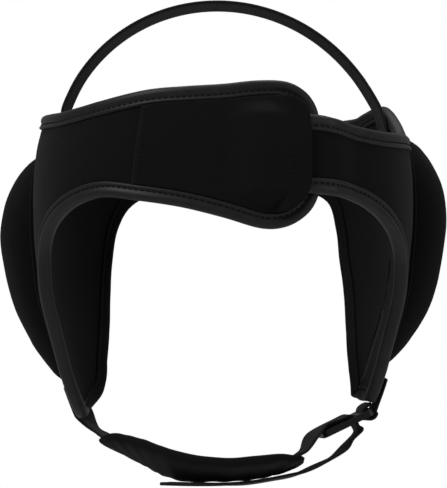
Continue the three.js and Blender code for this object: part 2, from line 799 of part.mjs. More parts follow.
// A plate with a slot for the tab, one for the webbing and one behind the thumb lip.
function adjusterBody() {
  const half = adjusterWidth / 2;
  const shape = roundedOutline(-half, 0, half, adjusterLength, adjusterCorner, THREE.Shape);
  const slotHalf = webbingWidth / 2 + slotSideSpare;
  const slots = [
    [tabBar, tabSlot],
    [strapSlotStart, strapSlot],
    [thumbSlotStart, thumbSlot],
  ];
  for (const [start, width] of slots) {
    const corner = 0.8;
    const hole = roundedOutline(-slotHalf, start, slotHalf, start + width, corner, THREE.Path);
    shape.holes.push(hole);
  }
  const geometry = new THREE.ExtrudeGeometry(shape, {
    depth: adjusterWall,
    bevelEnabled: false,
    curveSegments: 3,
  });
  geometry.translate(0, 0, -adjusterWall / 2);
  return geometry;
}

function roundedOutline(left, bottom, right, top, corner, Kind) {
  const line = new Kind();
  line.moveTo(left + corner, bottom);
  line.lineTo(right - corner, bottom);
  line.absarc(right - corner, bottom + corner, corner, -Math.PI / 2, 0, false);
  line.lineTo(right, top - corner);
  line.absarc(right - corner, top - corner, corner, 0, Math.PI / 2, false);
  line.lineTo(left + corner, top);
  line.absarc(left + corner, top - corner, corner, Math.PI / 2, Math.PI, false);
  line.lineTo(left, bottom + corner);
  line.absarc(left + corner, bottom + corner, corner, Math.PI, 1.5 * Math.PI, false);
  return line;
}

function material(color, roughness) {
  return new THREE.MeshStandardMaterial({ color, roughness, metalness: 0 });
}

const neoprene = () => material(0x1b1b1c, 0.85);
const faceFabric = () => material(0x1d1d1f, 0.8);
const edgeTape = () => material(0x4a4a4c, 0.6);
const cupFabric = () => material(0x151516, 0.8);
const webbing = () => material(0x161617, 0.7);
const plastic = () => material(0x121213, 0.45);

const guard = new THREE.Group();
const headForm = new THREE.Group();
headForm.position.y = -crownSetback;
guard.add(headForm);

function place(name, geometry, finish) {
  const mesh = new THREE.Mesh(geometry, finish);
  mesh.name = name;
  headForm.add(mesh);
  return mesh;
}

const leftChain = edgeChain(leftEdges, -1);
const rightChain = edgeChain(rightEdges, 1);
const rightPlaces = edgePlaces(rightEdges).reverse();
const rearCorner = rightPlaces.indexOf(rearCornerRow);
const frontCorner = rightPlaces.indexOf(frontCornerRow);

place('left_panel', panelBody(leftEdges, -1, noLift), neoprene());
place('right_panel', panelBody(rightEdges, 1, rightLift), neoprene());
place('front_patch', patchBody(), faceFabric());
place('left_binding', tapeBody(leftChain, noLift), edgeTape());
place('right_binding', tapeBody(rightChain.slice(frontCorner), rightLift), edgeTape());
place('right_rear_binding', tapeBody(rightChain.slice(0, rearCorner + 1), noLift), edgeTape());
place('right_tip_hem', tapeBody(tipHemChain(), noLift), edgeTape());
place('left_ear_cup', cupBody(-1, leftCupDrop, leftPeakLift), cupFabric());
place('right_ear_cup', cupBody(1, rightCupDrop, rightPeakLift), cupFabric());
place('crown_strap', crownStrapBody(), webbing());
place('chin_strap', strapBody(chinStrapStops()), webbing());
place('chin_sleeve', sleeveBody(), faceFabric());
place('adjuster_tab', strapBody(tabStops()), webbing());

const adjuster = place('strap_adjuster', adjusterBody(), plastic());
const { run, across, out } = adjusterAxes();
const basis = new THREE.Matrix4().makeBasis(across.negate(), run, out);
adjuster.quaternion.setFromRotationMatrix(basis);
adjuster.position.copy(adjusterPlace());

export default guard;
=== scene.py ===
import math

import bmesh
import bpy
import numpy as np
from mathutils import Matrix, Vector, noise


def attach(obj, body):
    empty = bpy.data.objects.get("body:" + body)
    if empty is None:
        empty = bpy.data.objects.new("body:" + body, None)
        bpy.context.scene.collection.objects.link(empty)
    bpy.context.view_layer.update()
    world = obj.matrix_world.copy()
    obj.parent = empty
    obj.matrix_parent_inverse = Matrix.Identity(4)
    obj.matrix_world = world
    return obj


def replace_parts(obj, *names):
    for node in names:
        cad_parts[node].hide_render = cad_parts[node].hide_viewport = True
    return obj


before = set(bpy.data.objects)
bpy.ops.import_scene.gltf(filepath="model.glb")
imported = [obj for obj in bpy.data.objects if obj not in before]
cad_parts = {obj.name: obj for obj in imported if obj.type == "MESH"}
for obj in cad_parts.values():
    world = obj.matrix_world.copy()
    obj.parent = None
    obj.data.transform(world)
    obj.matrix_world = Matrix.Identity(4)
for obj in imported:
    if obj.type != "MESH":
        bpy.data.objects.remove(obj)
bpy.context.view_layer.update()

MM = 0.001
CROWN_SETBACK = 22
MERGE_DISTANCE = 0.02

# The head form that the panels follow.
HALF_WIDTH = 89.5
FRONT_DEPTH = 98
REAR_DEPTH = 92
FRONT_POWER = 2.6
REAR_POWER = 2.3
GUARD_DROP = 201

# Cloth, tape and webbing.
GAP = 0.35
PANEL_HALF = 1.6
PATCH_WALL = 1.0
TAPE_WALL = 0.8
TAPE_LEG = 7.0
TAPE_LIFT = PANEL_HALF + GAP + TAPE_WALL
PANEL_INSET = 2.15
OVERLAP_LIFT = 2 * TAPE_LIFT + GAP
STITCH_INSET = 5.05
STITCH_LIFT = 2.15
WEBBING_WIDTH = 20
WEBBING_WALL = 1.6
WEBBING_ROOM = 0.7
STRIP_LIFT = TAPE_LIFT + WEBBING_ROOM + WEBBING_WALL / 2

# Steps for each row of a table of edges, and points across a panel and the patch.
PANEL_STEPS = 4
TAPE_STEPS = 6
END_STEPS = 13
HEM_PLACES = 13
PANEL_COLUMNS = 37
PATCH_COLUMNS = 41

# Swelling of the panels, reached a few columns away from the tape.
PANEL_SWELL = 0.12
SWELL_COLUMNS = 3

# Unevenness of the soft pieces: height, size and seed of each noise.
PANEL_WAVES = ((0.28, 26, 1), (0.14, 9, 2))
PATCH_WAVES = ((0.25, 18, 3),)
CUP_WAVES = ((0.9, 34, 4), (0.25, 12, 5))

# Front closure, in degrees round the head.
PATCH_START = -22
BAND_END = 11.5
BAND_RAMP = (26, 37)
POCKET_RISE = 9
POCKET_RISE_END = BAND_END - 2
MOUTH_START = BAND_END + 1
MOUTH_RISE = 4
MOUTH_STITCH = 17.3
END_STITCH = PATCH_START + 2.2
SEAM_ANGLE = 179.9

# Shares of the patch's height over which it rises and turns uneven.
SEWN_SHARE = 0.19
EVEN_SHARE = 0.1

# Ear cups.
CUP_HALF_HEIGHT = 56
CUP_HALF_WIDTH = 37
CUP_RISE = 18.5
CUP_SWELL = 0.5
CUP_ROUNDING = 0.66
CUP_RIM = 0.1
CUP_SEAT = PANEL_HALF + 0.2
CUP_SPOKES = 112
CUP_EDGE_SPOKES = 160
CUP_RIM_RINGS = 8
CUP_DOME_RINGS = 30
CUP_EVEN_RISE = 8
CUP_TAPER = 0.3
CUP_LEAN = 9
CUP_SETBACK = 20
PIPING_RADIUS = 1.15
PIPING_LIFT = PANEL_HALF + 0.9
PIPING_SIDES = 12
CUP_STITCH_RING = 1.055
CUP_STITCH_LIFT = PANEL_HALF + 0.25

# Drop of each cup below the crown, and how far its peak lies above its middle.
LEFT_CUP = (128.6, 15)
RIGHT_CUP = (120.2, 20)

# Straps, sleeve and adjuster.
CROWN_ANGLE = 104
CROWN_SEAM = 14
CROWN_STOPS = 7
CROWN_TILT = 8
CROWN_LEAN = 2.8
CHIN_HALF_SPAN = 0.7374 * HALF_WIDTH
CHIN_FORWARD = 36
CHIN_SAG = 30
LEFT_TIP_ANGLE = -102
LEFT_SEAM = 13
LEFT_SEAM_SETBACK = 13
SLEEVE_HALF_WIDTH = 16
SLEEVE_WALL = 1.5
SLEEVE_SLOT_HALF = 1.5
SLEEVE_HALF_HEIGHT = SLEEVE_SLOT_HALF + SLEEVE_WALL
SLEEVE_SLOT_HALF_WIDTH = WEBBING_WIDTH / 2 + 1.5
SLEEVE_LEFT_SCARF = 11
SLEEVE_RIGHT_SCARF = 22
SLEEVE_OUTER_POWER = 3.2
SLEEVE_SLOT_POWER = 8
SLEEVE_STEPS = 120
SLEEVE_SIDES = 56
SLEEVE_SWELL = 0.35
SLEEVE_END_RUN = 0.35
SLEEVE_TOP_CREASE = 0.35
CREASE_PACE = 5.3
CREASE_SLANT = 0.06
CREASE_FADE = 1.7
ADJUSTER_WIDTH = 26
ADJUSTER_WALL = 3.2
TAB_BAR = 3
CROSS_BAR = 2.4
GRIP_BAR = 3
THUMB_SLOT = 3
THUMB_LIP = 9
ADJUSTER_RUN = (-21, -3, -10)
TAB_SEAM = 12
TAB_SETBACK = -4
TAB_INWARD = 1.5
TAB_DROP = 0
TAB_RETURN = 0.8
LEAVING_BENDS = (1.3, 2.4)
MOULDING_ROUND = 0.55
RIDGE_COUNT = 4
RIDGE_PITCH = 1.6
RIDGE_RADIUS = 0.5
RIDGE_SETBACK = 2
RIDGE_HALF = ADJUSTER_WIDTH / 2 - 3.5
RIDGE_RINGS = 9
RIDGE_SIDES = 7
RIDGE_SUNK = 0.1
RIDGE_TAPER = 0.6

# Threads: distance from one to the next, length and radius.
TAPE_THREAD = (2.8, 2.0, 0.36)
PATCH_THREAD = (2.6, 1.9, 0.26)
CUP_THREAD = (2.6, 1.8, 0.26)

# Rings of a thread: place along it as a share, lift and width in radii.
THREAD_RINGS = (
    (-0.5, -0.9, 0.35),
    (-0.36, 0.1, 0.9),
    (0, 0.45, 1.0),
    (0.36, 0.1, 0.9),
    (0.5, -0.9, 0.35),
)
THREAD_SIDES = 6
THREAD_WIDTH = 1.15
THREAD_HEIGHT = 0.8

# Camera and floor, in metres apart from the sensor's width in millimetres.
SENSOR_WIDTH = 36
CAMERA_DISTANCE = 1.3
CAMERA_ACROSS = 0.0003
CAMERA_HEIGHT = -0.1168
PHOTO_PIXELS = 447
PIXEL_SIZE = 0.000486
FLOOR_REACH = 7
FLOOR_HEIGHT = -0.9

# Strength of the white surroundings as a light, and the lamps: name, place, size and power.
AMBIENT = 0.19
LAMP_TARGET = (0, 0, -0.12)
LAMPS = (
    ("key", (-0.9, -0.9, 1.1), (0.7, 0.7), 12.5),
    ("fill", (1.3, -0.8, 0.1), (0.5, 1.2), 3.6),
    ("top", (0.1, 0.4, 1.3), (1.2, 0.8), 7),
)

# Head form by height: drop, half width, front depth and rear depth as shares.
FORM_LEVELS = np.array([
    [0.20, 0.895, 0.97, 0.99],
    [0.26, 0.926, 0.98, 1.00],
    [0.30, 0.952, 0.99, 1.00],
    [0.36, 0.984, 1.00, 1.00],
    [0.44, 1.000, 1.00, 1.00],
    [0.54, 1.000, 1.00, 0.99],
    [0.62, 0.985, 1.00, 0.96],
    [0.70, 0.962, 0.99, 0.88],
    [0.80, 0.900, 0.97, 0.72],
    [0.88, 0.850, 0.95, 0.58],
    [0.94, 0.805, 0.93, 0.50],
    [1.00, 0.750, 0.90, 0.44],
    [1.10, 0.670, 0.86, 0.36],
])

# Panel edges from front end to rear seam: top angle and drop, low angle and drop.
LEFT_EDGES = np.array([
    [25.8, 0.326, 25.8, 0.420],
    [25.1, 0.278, 25.1, 0.468],
    [22.4, 0.241, 22.4, 0.511],
    [17.2, 0.217, 17.2, 0.541],
    [9.5, 0.214, 10.3, 0.547],
    [0.0, 0.222, 0.0, 0.522],
    [-10.0, 0.227, -11.0, 0.499],
    [-20.0, 0.234, -22.4, 0.484],
    [-32.5, 0.255, -32.0, 0.476],
    [-41.0, 0.269, -40.6, 0.493],
    [-50.0, 0.278, -48.5, 0.525],
    [-58.0, 0.279, -55.5, 0.567],
    [-64.0, 0.279, -60.4, 0.614],
    [-69.0, 0.279, -63.0, 0.677],
    [-74.0, 0.278, -65.6, 0.741],
    [-79.0, 0.276, -68.5, 0.811],
    [-84.0, 0.274, -72.3, 0.878],
    [-89.0, 0.271, -76.5, 0.938],
    [-95.0, 0.269, -82.0, 0.984],
    [-101.0, 0.265, -89.5, 1.000],
    [-107.0, 0.262, -101.0, 0.989],
    [-113.0, 0.259, -112.0, 0.962],
    [-119.0, 0.258, -118.3, 0.925],
    [-125.0, 0.258, -123.8, 0.871],
    [-131.0, 0.258, -131.2, 0.799],
    [-137.0, 0.257, -137.7, 0.711],
    [-143.0, 0.256, -141.4, 0.627],
    [-149.0, 0.256, -144.5, 0.547],
    [-156.0, 0.255, -150.0, 0.484],
    [-165.0, 0.254, -160.5, 0.450],
    [-SEAM_ANGLE, 0.254, -SEAM_ANGLE, 0.443],
])
RIGHT_EDGES = np.array([
    [11.5, 0.328, 11.5, 0.428],
    [12.5, 0.301, 12.5, 0.455],
    [15.5, 0.292, 15.5, 0.466],
    [24.0, 0.297, 23.0, 0.469],
    [31.0, 0.306, 30.0, 0.476],
    [38.0, 0.316, 36.5, 0.489],
    [45.0, 0.323, 42.0, 0.509],
    [52.0, 0.325, 47.5, 0.535],
    [59.0, 0.325, 54.0, 0.575],
    [66.0, 0.325, 59.5, 0.622],
    [73.0, 0.326, 62.3, 0.677],
    [80.0, 0.326, 64.8, 0.734],
    [86.0, 0.322, 67.0, 0.799],
    [91.0, 0.311, 70.3, 0.861],
    [96.0, 0.289, 74.5, 0.920],
    [101.0, 0.269, 78.0, 0.958],
    [104.0, 0.258, 78.0, 0.958],
    [108.0, 0.247, 92.5, 0.959],
    [112.0, 0.241, 108.5, 0.958],
    [115.0, 0.241, 108.5, 0.958],
    [120.0, 0.244, 113.3, 0.918],
    [126.0, 0.253, 119.0, 0.871],
    [131.0, 0.263, 126.8, 0.796],
    [137.0, 0.267, 134.0, 0.711],
    [143.0, 0.268, 138.9, 0.627],
    [149.0, 0.268, 141.4, 0.547],
    [156.0, 0.263, 145.2, 0.474],
    [165.0, 0.257, 156.0, 0.447],
    [SEAM_ANGLE, 0.254, SEAM_ANGLE, 0.443],
])
FRONT_CORNER_ROW = 15
REAR_CORNER_ROW = 19
LEFT_TIP_ROW = 19.5
RIGHT_TIP_Z = -RIGHT_EDGES[FRONT_CORNER_ROW, 3] * GUARD_DROP

# Middle of the chin strap: across, forward and sag below the left tip as shares, tilt in degrees.
LEFT_APPROACH = np.array([
    [-1.000, -0.30, 0.125, -5],
    [-0.910, -0.12, 0.240, -3],
    [-0.842, 0.07, 0.342, 1],
    [-0.785, 0.22, 0.402, 6],
])
SLEEVE_ROWS = np.array([
    [-0.765, 0.28, 0.438, 11],
    [-0.687, 0.42, 0.467, 15],
    [-0.607, 0.55, 0.513, 17],
    [-0.520, 0.67, 0.572, 21],
    [-0.409, 0.79, 0.651, 23],
    [-0.227, 0.93, 0.725, 22],
    [0.000, 1.00, 0.750, 18],
    [0.227, 0.94, 0.728, 18],
    [0.395, 0.81, 0.686, 14],
    [0.438, 0.76, 0.681, 14],
    [0.480, 0.71, 0.677, 12],
])
RIGHT_APPROACH = np.array([
    [0.409, 0.80, 0.669, 12],
    [0.470, 0.72, 0.632, 9],
    [0.553, 0.61, 0.539, -2],
    [0.636, 0.49, 0.352, -2],
])
TAIL_ROWS = np.array([
    [0.910, 0.20, 0.400, 0],
    [0.838, 0.32, 0.567, 2],
    [0.706, 0.50, 0.700, 3],
    [0.561, 0.65, 0.835, 5],
    [0.409, 0.79, 0.895, 7],
    [0.192, 0.93, 0.960, 7],
    [0.000, 0.97, 0.980, 5],
    [-0.197, 0.94, 0.985, 4],
    [-0.409, 0.83, 0.985, 4],
])


def ease(t):
    s = np.clip(t, 0, 1)
    return s * s * (3 - 2 * s)


def unit(vectors):
    return vectors / np.linalg.norm(vectors, axis=-1, keepdims=True)


def cubic(a, b, c, d, t):
    linear = c - a
    square = 2 * a - 5 * b + 4 * c - d
    cube = d - a + 3 * (b - c)
    return b + 0.5 * t * (linear + t * (square + t * cube))


def row_at(rows, places):
    """Rows of a table at places between its rows, on a smooth curve."""
    places = np.asarray(places, float)
    last = len(rows) - 1
    start = np.clip(np.floor(places).astype(int), 0, last - 1)
    near = [rows[np.clip(start + step, 0, last)] for step in (-1, 0, 1, 2)]
    share = (places - start).reshape(places.shape + (1,) * (rows.ndim - 1))
    return cubic(*near, share)


def row_where(rows, column, value):
    """Row of a table where a rising column reaches a value."""
    levels = rows[:, column]
    start = np.clip(np.searchsorted(levels, value) - 1, 0, len(rows) - 2)
    place = start + (value - levels[start]) / (levels[start + 1] - levels[start])
    return row_at(rows, place)


def form_at(z):
    level = row_where(FORM_LEVELS, 0, -np.asarray(z, float) / GUARD_DROP)
    return level[..., 1] * HALF_WIDTH, level[..., 2] * FRONT_DEPTH, level[..., 3] * REAR_DEPTH


def form_middle(spots):
    """Points on the head form. A spot is an angle in degrees and a height."""
    angle, z = spots[..., 0], spots[..., 1]
    side, front, rear = form_at(z)
    turn = np.radians(angle)
    in_front = np.cos(turn) > 0
    depth = np.where(in_front, front, rear)
    power = np.where(in_front, FRONT_POWER, REAR_POWER)
    across = np.abs(np.sin(turn)) / side
    along = np.abs(np.cos(turn)) / depth
    radius = (across ** power + along ** power) ** (-1 / power)
    return np.stack([radius * np.sin(turn), -radius * np.cos(turn), z], axis=-1)


def form_axes(spots):
    step = 0.25
    turned = np.array([step, 0])
    raised = np.array([0, step])
    around = (form_middle(spots + turned) - form_middle(spots - turned)) / (2 * step)
    up = (form_middle(spots + raised) - form_middle(spots - raised)) / (2 * step)
    return around, up, unit(np.cross(around, up))


def form_point(spots, lift):
    lifts = np.broadcast_to(np.asarray(lift, float), spots.shape[:-1])
    return form_middle(spots) + form_axes(spots)[2] * lifts[..., None]


def slide(spots, direction, distance):
    """The spots that lie a distance along a direction."""
    around, up, _ = form_axes(spots)
    a = (around * around).sum(-1)
    b = (around * up).sum(-1)
    c = (up * up).sum(-1)
    p = (around * direction).sum(-1) * distance
    q = (up * direction).sum(-1) * distance
    scale = a * c - b * b
    moved = np.stack([(p * c - q * b) / scale, (q * a - p * b) / scale], axis=-1)
    return spots + moved


def spot_behind(side, setback, z):
    setback, z = np.broadcast_arrays(np.asarray(setback, float), np.asarray(z, float))
    half, front, rear = form_at(z)
    depth = np.where(setback < 0, front, rear)
    power = np.where(setback < 0, FRONT_POWER, REAR_POWER)
    across = half * (1 - (np.abs(setback) / depth) ** power) ** (1 / power)
    return np.stack([side * np.degrees(np.arctan2(across, -setback)), z], axis=-1)


def right_lift(angle):
    start, end = BAND_RAMP
    return OVERLAP_LIFT * (1 - ease((angle - start) / (end - start)))


def no_lift(angle):
    return np.zeros_like(angle)


def smooth_noise(points, size, seed):
    """Soft noise about 0 at points in millimetres, with features of a size."""
    flat = points.reshape(-1, 3) / size + seed * 7.3
    values = np.array([noise.noise(Vector(point)) for point in flat])
    return values.reshape(points.shape[:-1])


def unevenness(points, waves):
    return sum(height * smooth_noise(points, size, seed) for height, size, seed in waves)


def edge_places(rows, steps):
    """Finely spaced places in a table of edges, with none inside a doubled corner row."""
    places = []
    for i in range(len(rows) - 1):
        same = np.allclose(rows[i, 2:], rows[i + 1, 2:])
        places += [i] if same else [i + k / steps for k in range(steps)]
    return np.array(places + [len(rows) - 1])


def edge_chain(rows, side, steps):
    """The free edge of a panel as one chain of spots, the panel on one side of it."""
    found = row_at(rows, edge_places(rows, steps))
    top = np.stack([found[:, 0], -found[:, 1] * GUARD_DROP], axis=-1)
    low = np.stack([found[:, 2], -found[:, 3] * GUARD_DROP], axis=-1)
    shares = np.linspace(0, 1, END_STEPS + 1)[1:-1, None]
    end = top[0] + (low[0] - top[0]) * shares
    if side < 0:
        return np.concatenate([top[::-1], end, low])
    return np.concatenate([low[::-1], end[::-1], top])


def inward_along(chain):
    """Directions into the panel along a chain, longer at corners."""
    same_place = 0.05
    points = form_middle(chain)
    out = form_axes(chain)[2]
    count = len(points)
    inward = np.zeros_like(points)
    for i in range(count):
        steps = []
        for direction in (-1, 1):
            k = i + direction
            while 0 <= k < count and np.linalg.norm(points[k] - points[i]) < same_place:
                k += direction
            if 0 <= k < count:
                step = (points[k] - points[i]) * direction
                steps.append(unit(np.cross(step / np.linalg.norm(step), out[i])))
        first, second = steps[0], steps[-1]
        inward[i] = (first + second) / (1 + first @ second)
    return inward


def facing_edges(rows, side, distance, steps):
    chain = edge_chain(rows, side, steps)
    moved = slide(chain, inward_along(chain), distance)
    count = len(edge_places(rows, steps))
    first, second = moved[:count], moved[-count:]
    return (first[::-1], second) if side < 0 else (second, first[::-1])


# Meshes and objects.


def linked_object(name, data):
    piece = bpy.data.objects.new(name, data)
    bpy.context.collection.objects.link(piece)
    return piece


def new_object(name, vertices, faces, coordinates, finish):
    """A smooth mesh object in the frame's place, with its surface coordinates in metres."""
    placed = (np.asarray(vertices, float) - [0, CROWN_SETBACK, 0]) * MM
    mesh = bpy.data.meshes.new(name)
    mesh.from_pydata(placed.tolist(), [], faces)
    layer = mesh.uv_layers.new(name="surface")
    corner_vertices = np.zeros(len(mesh.loops), int)
    mesh.loops.foreach_get("vertex_index", corner_vertices)
    chosen = np.asarray(coordinates, float)[corner_vertices] * MM
    layer.data.foreach_set("uv", chosen.ravel())
    mesh.materials.append(finish)
    tidy_mesh(mesh)
    piece = linked_object(name, mesh)
    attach(piece, "root")
    return piece


def tidy_mesh(mesh):
    work = bmesh.new()
    work.from_mesh(mesh)
    bmesh.ops.remove_doubles(work, verts=work.verts, dist=MERGE_DISTANCE * MM)
    bmesh.ops.recalc_face_normals(work, faces=work.faces)
    for face in work.faces:
        face.smooth = True
    work.to_mesh(mesh)
    work.free()


def grid_coordinates(grid):
    """Lengths along and across a grid of points."""
    along = np.zeros(grid.shape[:2])
    across = np.zeros(grid.shape[:2])
    middle = grid[:, grid.shape[1] // 2]
    along[1:] = np.cumsum(np.linalg.norm(np.diff(middle, axis=0), axis=-1))[:, None]
    across[:, 1:] = np.cumsum(np.linalg.norm(np.diff(grid, axis=1), axis=-1), axis=1)
    return np.stack([along, across], axis=-1)


def slab_faces(rows, columns, ring_along=False, ring_across=False):
    """Faces of a closed body between two grids of the same shape."""
    faces = []
    size = rows * columns

    def index(layer, i, j):
        return layer * size + (i % rows) * columns + (j % columns)

    last_row = rows if ring_along else rows - 1
    last_column = columns if ring_across else columns - 1
    for i in range(last_row):
        for j in range(last_column):
            for layer in (0, 1):
                corners = ((i, j), (i + 1, j), (i + 1, j + 1), (i, j + 1))
                faces.append(tuple(index(layer, *corner) for corner in corners))
        if not ring_across:
            for j in (0, columns - 1):
                corners = ((0, i), (1, i), (1, i + 1), (0, i + 1))
                faces.append(tuple(index(layer, row, j) for layer, row in corners))
    if not ring_along:
        for i in (0, rows - 1):
            for j in range(last_column):
                corners = ((0, j), (0, j + 1), (1, j + 1), (1, j))
                faces.append(tuple(index(layer, i, column) for layer, column in corners))
    return faces


def slab_object(name, upper, lower, finish, ring_along=False, ring_across=False):
    faces = slab_faces(upper.shape[0], upper.shape[1], ring_along, ring_across)
    vertices = np.concatenate([upper.reshape(-1, 3), lower.reshape(-1, 3)])
    coordinates = grid_coordinates(upper).reshape(-1, 2)
    return new_object(name, vertices, faces, np.tile(coordinates, (2, 1)), finish)


def ring_faces(base, count, around, closed=False):
    """Faces through rings of vertices, with both ends shut unless the rings close on themselves."""
    faces = []
    for i in range(count if closed else count - 1):
        low = base + i * around
        high = base + (i + 1) % count * around
        for j in range(around):
            m = (j + 1) % around
            faces.append((low + j, high + j, high + m, low + m))
    if not closed:
        last = base + (count - 1) * around
        faces.append(tuple(range(base, base + around)))
        faces.append(tuple(range(last, last + around)))
    return faces


def tube_object(name, rings, finish, closed=False):
    faces = ring_faces(0, *rings.shape[:2], closed)
    coordinates = grid_coordinates(rings).reshape(-1, 2)
    return new_object(name, rings.reshape(-1, 3), faces, coordinates, finish)


def resampled(points, pitch):
    """Places about a pitch apart along a path, counted in rows and shares of a row."""
    lengths = np.concatenate([[0], np.cumsum(np.linalg.norm(np.diff(points, axis=0), axis=-1))])
    count = max(int(lengths[-1] / pitch), 1)
    marks = (np.arange(count) + 0.5) * lengths[-1] / count
    return np.interp(marks, lengths, np.arange(len(points)))


def lerp_rows(values, places):
    start = np.clip(np.floor(places).astype(int), 0, len(values) - 2)
    share = (places - start)[:, None]
    return values[start] * (1 - share) + values[start + 1] * share


def stitch_parts(points, normals, pitch, length, radius):
    """Threads lying along a path: small tubes that dip into the cloth at both ends."""
    places = resampled(points, pitch)
    centres = lerp_rows(points, places)
    outward = unit(lerp_rows(normals, places))
    tangents = np.gradient(points, axis=0)
    run = unit(lerp_rows(tangents, places))
    across = unit(np.cross(outward, run))
    turns = np.linspace(0, 2 * math.pi, THREAD_SIDES + 1)[:-1]
    vertices = []
    faces = []
    for centre, forward, side, up in zip(centres, run, across, outward):
        faces += ring_faces(len(vertices), len(THREAD_RINGS), THREAD_SIDES)
        for share, height, width in THREAD_RINGS:
            middle = centre + forward * share * length + up * height * radius
            for turn in turns:
                level = side * math.cos(turn) * THREAD_WIDTH
                upright = up * math.sin(turn) * THREAD_HEIGHT
                vertices.append(middle + (level + upright) * radius * width)
    return vertices, faces


def stitch_object(name, paths, thread_size):
    """One object with the threads along several paths of points and normals."""
    vertices = []
    faces = []
    for points, normals in paths:
        more, more_faces = stitch_parts(points, normals, *thread_size)
        faces += [tuple(index + len(vertices) for index in face) for face in more_faces]
        vertices += more
    flat = np.array(vertices)
    new_object(name, flat, faces, flat[:, :2], thread)


# Materials. Surface coordinates are lengths along and across each piece.


def shader_tree(name):
    finish = bpy.data.materials.new(name)
    finish.use_nodes = True
    tree = finish.node_tree
    return finish, tree, tree.nodes["Principled BSDF"]


def add_node(tree, kind, **settings):
    node = tree.nodes.new(kind)
    for key, value in settings.items():
        setattr(node, key, value)
    return node


def set_inputs(node, **values):
    for name, value in values.items():
        node.inputs[name].default_value = value


def scaled_surface(tree, along, across):
    """Surface coordinates counted in periods of two lengths in millimetres."""
    source = add_node(tree, "ShaderNodeTexCoord")
    mapping = add_node(tree, "ShaderNodeMapping")
    set_inputs(mapping, Scale=(1 / (along * MM), 1 / (across * MM), 1))
    tree.links.new(source.outputs["UV"], mapping.inputs["Vector"])
    return mapping.outputs["Vector"]


def sine_ribs(tree, vector, direction):
    """Even ribs with a period of 1 along a direction."""
    wave = add_node(tree, "ShaderNodeTexWave", wave_type="BANDS", bands_direction=direction)
    set_inputs(wave, Scale=math.pi / 10, Distortion=0.35, Detail=1)
    tree.links.new(vector, wave.inputs["Vector"])
    return wave.outputs["Fac"]


def noise_value(tree, size, detail=4):
    source = add_node(tree, "ShaderNodeTexCoord")
    texture = add_node(tree, "ShaderNodeTexNoise")
    set_inputs(texture, Scale=1 / (size * MM), Detail=detail, Roughness=0.55)
    tree.links.new(source.outputs["Object"], texture.inputs["Vector"])
    return texture.outputs["Fac"]


def math_node(tree, operation, first, second):
    node = add_node(tree, "ShaderNodeMath", operation=operation)
    for socket, value in zip(node.inputs, (first, second)):
        if isinstance(value, (int, float)):
            socket.default_value = value
        else:
            tree.links.new(value, socket)
    return node.outputs["Value"]


def ramp(tree, value, low, high):
    """A colour between two greys, by a value from 0 to 1."""
    node = add_node(tree, "ShaderNodeValToRGB")
    node.color_ramp.elements[0].position = 0.3
    node.color_ramp.elements[1].position = 0.7
    node.color_ramp.elements[0].color = (*low, 1)
    node.color_ramp.elements[1].color = (*high, 1)
    tree.links.new(value, node.inputs["Fac"])
    return node.outputs["Color"]


def shade(tree, shader, tone, grey, darkest):
    """A base colour between a grey and a darker share of it."""
    dark = tuple(value * darkest for value in grey)
    tree.links.new(ramp(tree, tone, dark, grey), shader.inputs["Base Color"])


def spread(tree, value, low, high):
    node = add_node(tree, "ShaderNodeMapRange")
    node.inputs["To Min"].default_value = low
    node.inputs["To Max"].default_value = high
    tree.links.new(value, node.inputs["Value"])
    return node.outputs["Result"]


def bump(tree, height, strength, depth, below=None):
    node = add_node(tree, "ShaderNodeBump")
    set_inputs(node, Strength=strength, Distance=depth * MM)
    tree.links.new(height, node.inputs["Height"])
    if below is not None:
        tree.links.new(below, node.inputs["Normal"])
    return node.outputs["Normal"]


def knit_material(name, grey, loop, specular=0.1, sheen=0.05):
    """Jersey knit bonded to foam: rows of small loops, a soft mottle and a faint sheen."""
    finish, tree, shader = shader_tree(name)
    surface = scaled_surface(tree, along=loop, across=loop * 0.72)
    columns = sine_ribs(tree, surface, "X")
    courses = sine_ribs(tree, surface, "Y")
    loops = math_node(tree, "MULTIPLY", columns, courses)
    mottle = noise_value(tree, size=9)
    fibre = noise_value(tree, size=0.5, detail=2)
    tone = math_node(tree, "ADD", math_node(tree, "MULTIPLY", loops, 0.35), mottle)
    shade(tree, shader, tone, grey, darkest=0.82)
    tree.links.new(spread(tree, mottle, low=0.82, high=0.96), shader.inputs["Roughness"])
    folds = noise_value(tree, size=14, detail=2)
    soft = bump(tree, folds, strength=0.25, depth=1.2)
    weave = bump(tree, loops, strength=0.45, depth=0.16, below=soft)
    fuzz = bump(tree, fibre, strength=0.3, depth=0.08, below=weave)
    tree.links.new(fuzz, shader.inputs["Normal"])
    shader.inputs["Specular IOR Level"].default_value = specular
    shader.inputs["Sheen Weight"].default_value = sheen
    shader.inputs["Sheen Roughness"].default_value = 0.5
    return finish


def tape_material(name, grey, low_rough, high_rough, specular):
    """Smooth elastic tape with fine lengthwise cords."""
    finish, tree, shader = shader_tree(name)
    cords = sine_ribs(tree, scaled_surface(tree, along=6, across=0.55), "Y")
    mottle = noise_value(tree, size=5)
    shade(tree, shader, mottle, grey, darkest=0.7)
    tree.links.new(spread(tree, mottle, low_rough, high_rough), shader.inputs["Roughness"])
    grain = noise_value(tree, size=1.2, detail=3)
    fine = bump(tree, grain, strength=0.2, depth=0.12)
    corded = bump(tree, cords, strength=0.3, depth=0.08, below=fine)
    tree.links.new(corded, shader.inputs["Normal"])
    shader.inputs["Specular IOR Level"].default_value = specular
    shader.inputs["Sheen Weight"].default_value = 0.05
    shader.inputs["Sheen Roughness"].default_value = 0.4
    return finish


